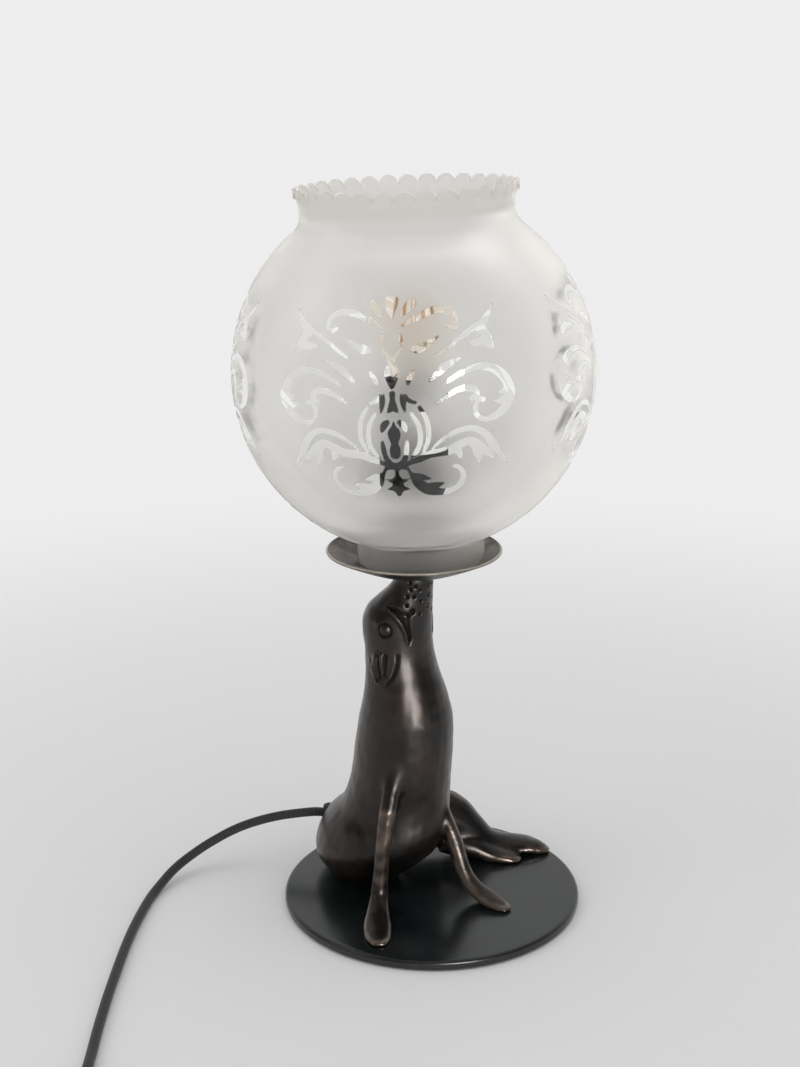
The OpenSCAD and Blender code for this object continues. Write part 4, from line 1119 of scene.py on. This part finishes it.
def cast_body():
    """Casting's outer skin with stopped bores, wrapped in even quads, its joins blended."""
    bm = cad_copy("seal_casting")
    stopper(bm, Matrix.Translation((0, 0, (NOSE_TOP - 18) * MM)), 7, 35)
    back = Matrix.Translation((EXIT - EXIT_WAY * 10) * MM) @ Matrix.Rotation(EXIT_TURN, 4, "Z")
    stopper(bm, back @ Matrix.Rotation(math.pi / 2, 4, "Y"), 5.6, 18)
    behind = Matrix.Translation(Vector(HOLLOW_STOP) * MM)
    bmesh.ops.create_icosphere(bm, subdivisions=4, radius=HOLLOW_STOP_R * MM, matrix=behind)
    rough = placed("rough_casting", bm)
    rough_mesh = rough.data
    wrap = rough.modifiers.new("wrap", "REMESH")
    wrap.mode = "VOXEL"
    wrap.voxel_size = VOXEL * MM
    wrapped = rough.evaluated_get(bpy.context.evaluated_depsgraph_get()).to_mesh()
    bm = bmesh.new()
    bm.from_mesh(wrapped)
    bpy.data.objects.remove(rough)
    bpy.data.meshes.remove(rough_mesh)
    relaxed(bm, bm.verts, SKIN_PASSES)
    run_out(bm)
    for at, reach in SHOULDERS:
        for share in np.linspace(1.2, 0.4, 9):
            near = [v for v in bm.verts if (v.co - Vector(at) * MM).length < reach * share * MM]
            relaxed(bm, near, SHOULDER_PASSES)
    head = [e for e in bm.edges if min(v.co.z for v in e.verts) > HEAD_FROM * MM]
    bmesh.ops.subdivide_edges(bm, edges=head, cuts=1, smooth=0.6, use_grid_fill=True)
    bmesh.ops.triangulate(bm, faces=[f for f in bm.faces if len(f.verts) > 4])
    return bm


def from_line(points, line):
    """Distance of points from a line of points in space."""
    nearest = np.full(len(points), 1e9)
    for start, end in zip(line, line[1:]):
        way = end - start
        t = np.clip((points - start) @ way / max(way @ way, 1e-12), 0, 1)
        nearest = np.minimum(nearest, np.linalg.norm(points - start - t[:, None] * way, axis=1))
    return nearest


def fine(line):
    """Straight pieces between points, cut into short ones."""
    line = np.array(line, float)
    short = [start + (end - start) * k / MARK_CUTS
             for start, end in zip(line, line[1:]) for k in range(MARK_CUTS)]
    return np.vstack(short + [line[-1]])


def both_sides(tree, pixels):
    """Marks seen in the photograph, set on the skin, and mirrored to the head's far side, in mm."""
    middle = Vector((math.cos(FACE_TURN), math.sin(FACE_TURN), 0))
    near, far = [], []
    for px, py in pixels:
        spot = tree.ray_cast(CAMERA_AT, sight(px, py).normalized())[0]
        if spot is None:
            continue
        near.append(spot / MM)
        mirrored = spot - middle * (2 * spot.dot(middle))
        far.append(tree.find_nearest(mirrored)[0] / MM)
    return [np.array(near, float), np.array(far, float)]


def carve(co, tree):
    """Height of the chased detail over the smooth skin, in mm, and how dark its hollows are
    painted, as patina and painted shade.
    """
    height = np.zeros(len(co))
    dark = np.zeros(len(co))
    for pixels, width, rise, shade in CHASED:
        for line in both_sides(tree, fine(pixels)):
            mark = np.exp(-(from_line(co, line) / width) ** 2)
            height += rise * mark
            # Darkness of the grooves: patina and painted shade
            dark = np.maximum(dark, shade * mark)
    for spot in both_sides(tree, [EYE_PX]):
        away = np.linalg.norm(co - spot[0], axis=1)
        ring = np.exp(-((away - EYE_RING_R) / EYE_RING_W) ** 2)
        height += EYE_H * np.exp(-(away / EYE_R) ** 2) - EYE_RING_DEPTH * ring
        dark = np.maximum(dark, ring)
    for pixel, radius, depth in PITS:
        for spot in both_sides(tree, [pixel]):
            hole = np.exp(-(np.linalg.norm(co - spot[0], axis=1) / radius) ** 4)
            height -= depth * hole
            dark = np.maximum(dark, hole)
    return height, dark


def spread_out(values, edges, count, rounds):
    """Averages a number over neighbouring vertices, a few times."""
    degree = np.bincount(edges.ravel(), minlength=count)
    for _ in range(rounds):
        total = np.bincount(edges[:, 0], values[edges[:, 1]], count)
        total += np.bincount(edges[:, 1], values[edges[:, 0]], count)
        values = 0.5 * values + 0.5 * total / np.maximum(degree, 1)
    return values


def sea_lion():
    """Casting with its chased face and ears; it stores what stands proud, for wear and a painted
    highlight, and what lies deep, for patina and painted shade.
    """
    bm = cast_body()
    bm.normal_update()
    tree = BVHTree.FromBMesh(bm)
    bm.verts.ensure_lookup_table()
    bm.verts.index_update()
    co = np.array([v.co for v in bm.verts], float) / MM
    normals = np.array([v.normal for v in bm.verts], float)
    head = co[:, 2] > HEAD_FROM + 2
    height = np.array([UNEVEN * noise.noise(Vector(spot) / UNEVEN_SIZE) for spot in co])
    dark = np.zeros(len(co))
    marks, dark[head] = carve(co[head], tree)
    height[head] += marks
    co += normals * height[:, None]
    co[:, 2] = np.maximum(co[:, 2], PLATE_TOP + 0.02)
    edges = np.array([[v.index for v in e.verts] for e in bm.edges])
    count = len(co)
    degree = np.maximum(np.bincount(edges.ravel(), minlength=count), 1)
    pull = np.zeros_like(co)
    for k in range(3):
        pull[:, k] = (np.bincount(edges[:, 0], co[edges[:, 1], k], count)
                      + np.bincount(edges[:, 1], co[edges[:, 0], k], count))
    bend = -np.einsum("ij,ij->i", pull / degree[:, None] - co, normals)
    bend = spread_out(bend / (VOXEL * np.where(head, 0.25, 1.0)), edges, count, 4)
    # Proud edges, later rubbed and painted bright as a highlight
    proud = np.clip(spread_out(np.maximum(bend, 0), edges, count, 3) / PROUD_BEND, 0, 1)
    proud *= np.where(head, 0.3, 1.0)
    # Hollows, chased lines, eye ring and pits, later darkened as patina and painted shade
    hollow_patina_and_shade = np.maximum(np.clip(np.maximum(-bend, 0) / SUNK_BEND, 0, 1), dark)
    from_shoulder = np.linalg.norm(co - SHOULDERS[0][0], axis=1)
    calm = np.clip((from_shoulder - CALM_R) / CALM_FADE, 0, 1)
    proud *= calm
    hollow_patina_and_shade = np.where(head, hollow_patina_and_shade, hollow_patina_and_shade * calm)
    proud_layer = bm.verts.layers.float.new("proud")
    sunk_layer = bm.verts.layers.float.new("hollow_patina_and_shade")
    for vert, place, high, low in zip(bm.verts, co, proud, hollow_patina_and_shade):
        vert.co = Vector(place) * MM
        vert[proud_layer] = high
        vert[sunk_layer] = low
    return piece("sea_lion", bm, "lamp", "bronze", "seal_casting", sharp=80)


sea_lion()

# Nodes that stay as they are take the finish of their slot

for part in frame["record"]["subparts"]:
    made_of(frame["nodes"][part["node"]], FINISH[part["material_slot"]])

# Floor, world and lamps

BACKGROUND = 0.85
FLOOR_TONE = 0.92
AMBIENT = 0.63
FAR_ROOM = 0.06


def ray_kinds(f):
    """Rays that show the background, straight or through glass, and rays of gloss alone."""
    camera = f.node("LightPath", {}, {}, "Is Camera Ray")
    gloss = f.node("LightPath", {}, {}, "Is Glossy Ray")
    glass = f.node("LightPath", {}, {}, "Is Transmission Ray")
    straight = f.node("Math", {"operation": "MINIMUM"}, {0: camera + glass, 1: 1.0})
    return straight, gloss * (1 - glass)


def floor():
    """Pale floor that keeps the shadow and fades into the background far off."""
    f = new_finish("pale_floor")
    x = f.axis("X")
    y = f.axis("Y")
    away = f.ease((x * x + y * y) ** 0.5, 0.25, 1.0)
    straight, gloss = ray_kinds(f)
    near = f.node("BsdfDiffuse", {}, {"Color": rgb(FLOOR_TONE, FLOOR_TONE, FLOOR_TONE)})
    strength = (straight + gloss) * (BACKGROUND - AMBIENT) + AMBIENT
    glow = f.node("Emission", {}, {"Color": rgb(1, 1, 1), "Strength": strength})
    material = f.done(f.node("MixShader", {}, {0: away, 1: near, 2: glow}))
    bm = bmesh.new()
    bmesh.ops.create_grid(bm, x_segments=8, y_segments=8, size=12)
    obj = placed("floor", bm)
    made_of(obj, material)


def world():
    """Even pale studio; its front wall, which only gloss shows, is darker."""
    studio = bpy.data.worlds.new("studio")
    scene.world = studio
    f = Finish(studio, "Generated")
    straight, gloss = ray_kinds(f)
    wall = f.between(f.ease(f.axis("Y"), -0.3, 0.95), FAR_ROOM, BACKGROUND)
    strength = AMBIENT + straight * (BACKGROUND - AMBIENT) + gloss * (wall - AMBIENT)
    back = f.node("Background", {}, {"Color": rgb(1, 1, 1), "Strength": strength})
    f.node("OutputWorld", {}, {"Surface": back})


def softbox(name, at, aim, width, height, power):
    """Flat soft lamp, in metres and watts."""
    data = bpy.data.lights.new(name, "AREA")
    data.shape = "RECTANGLE"
    data.size = width
    data.size_y = height
    data.energy = power
    lamp = bpy.data.objects.new(name, data)
    lamp.location = at
    lamp.rotation_euler = (Vector(aim) - Vector(at)).to_track_quat("-Z", "Y").to_euler()
    scene.collection.objects.link(lamp)
    return lamp


floor()
world()
# The window is a card for the highlights alone
window = softbox("window", (0.54, -1.45, 0.3), (0, 0, 0.15), 0.56, 0.6, 22)
window.visible_transmission = False
window.visible_diffuse = False
softbox("sky", (0.3, 0, 1.7), (0, 0, 0.2), 1.4, 1.4, 3)
softbox("fill", (-1.2, -0.5, 1.1), (0, 0, 0.24), 0.9, 0.9, 2)
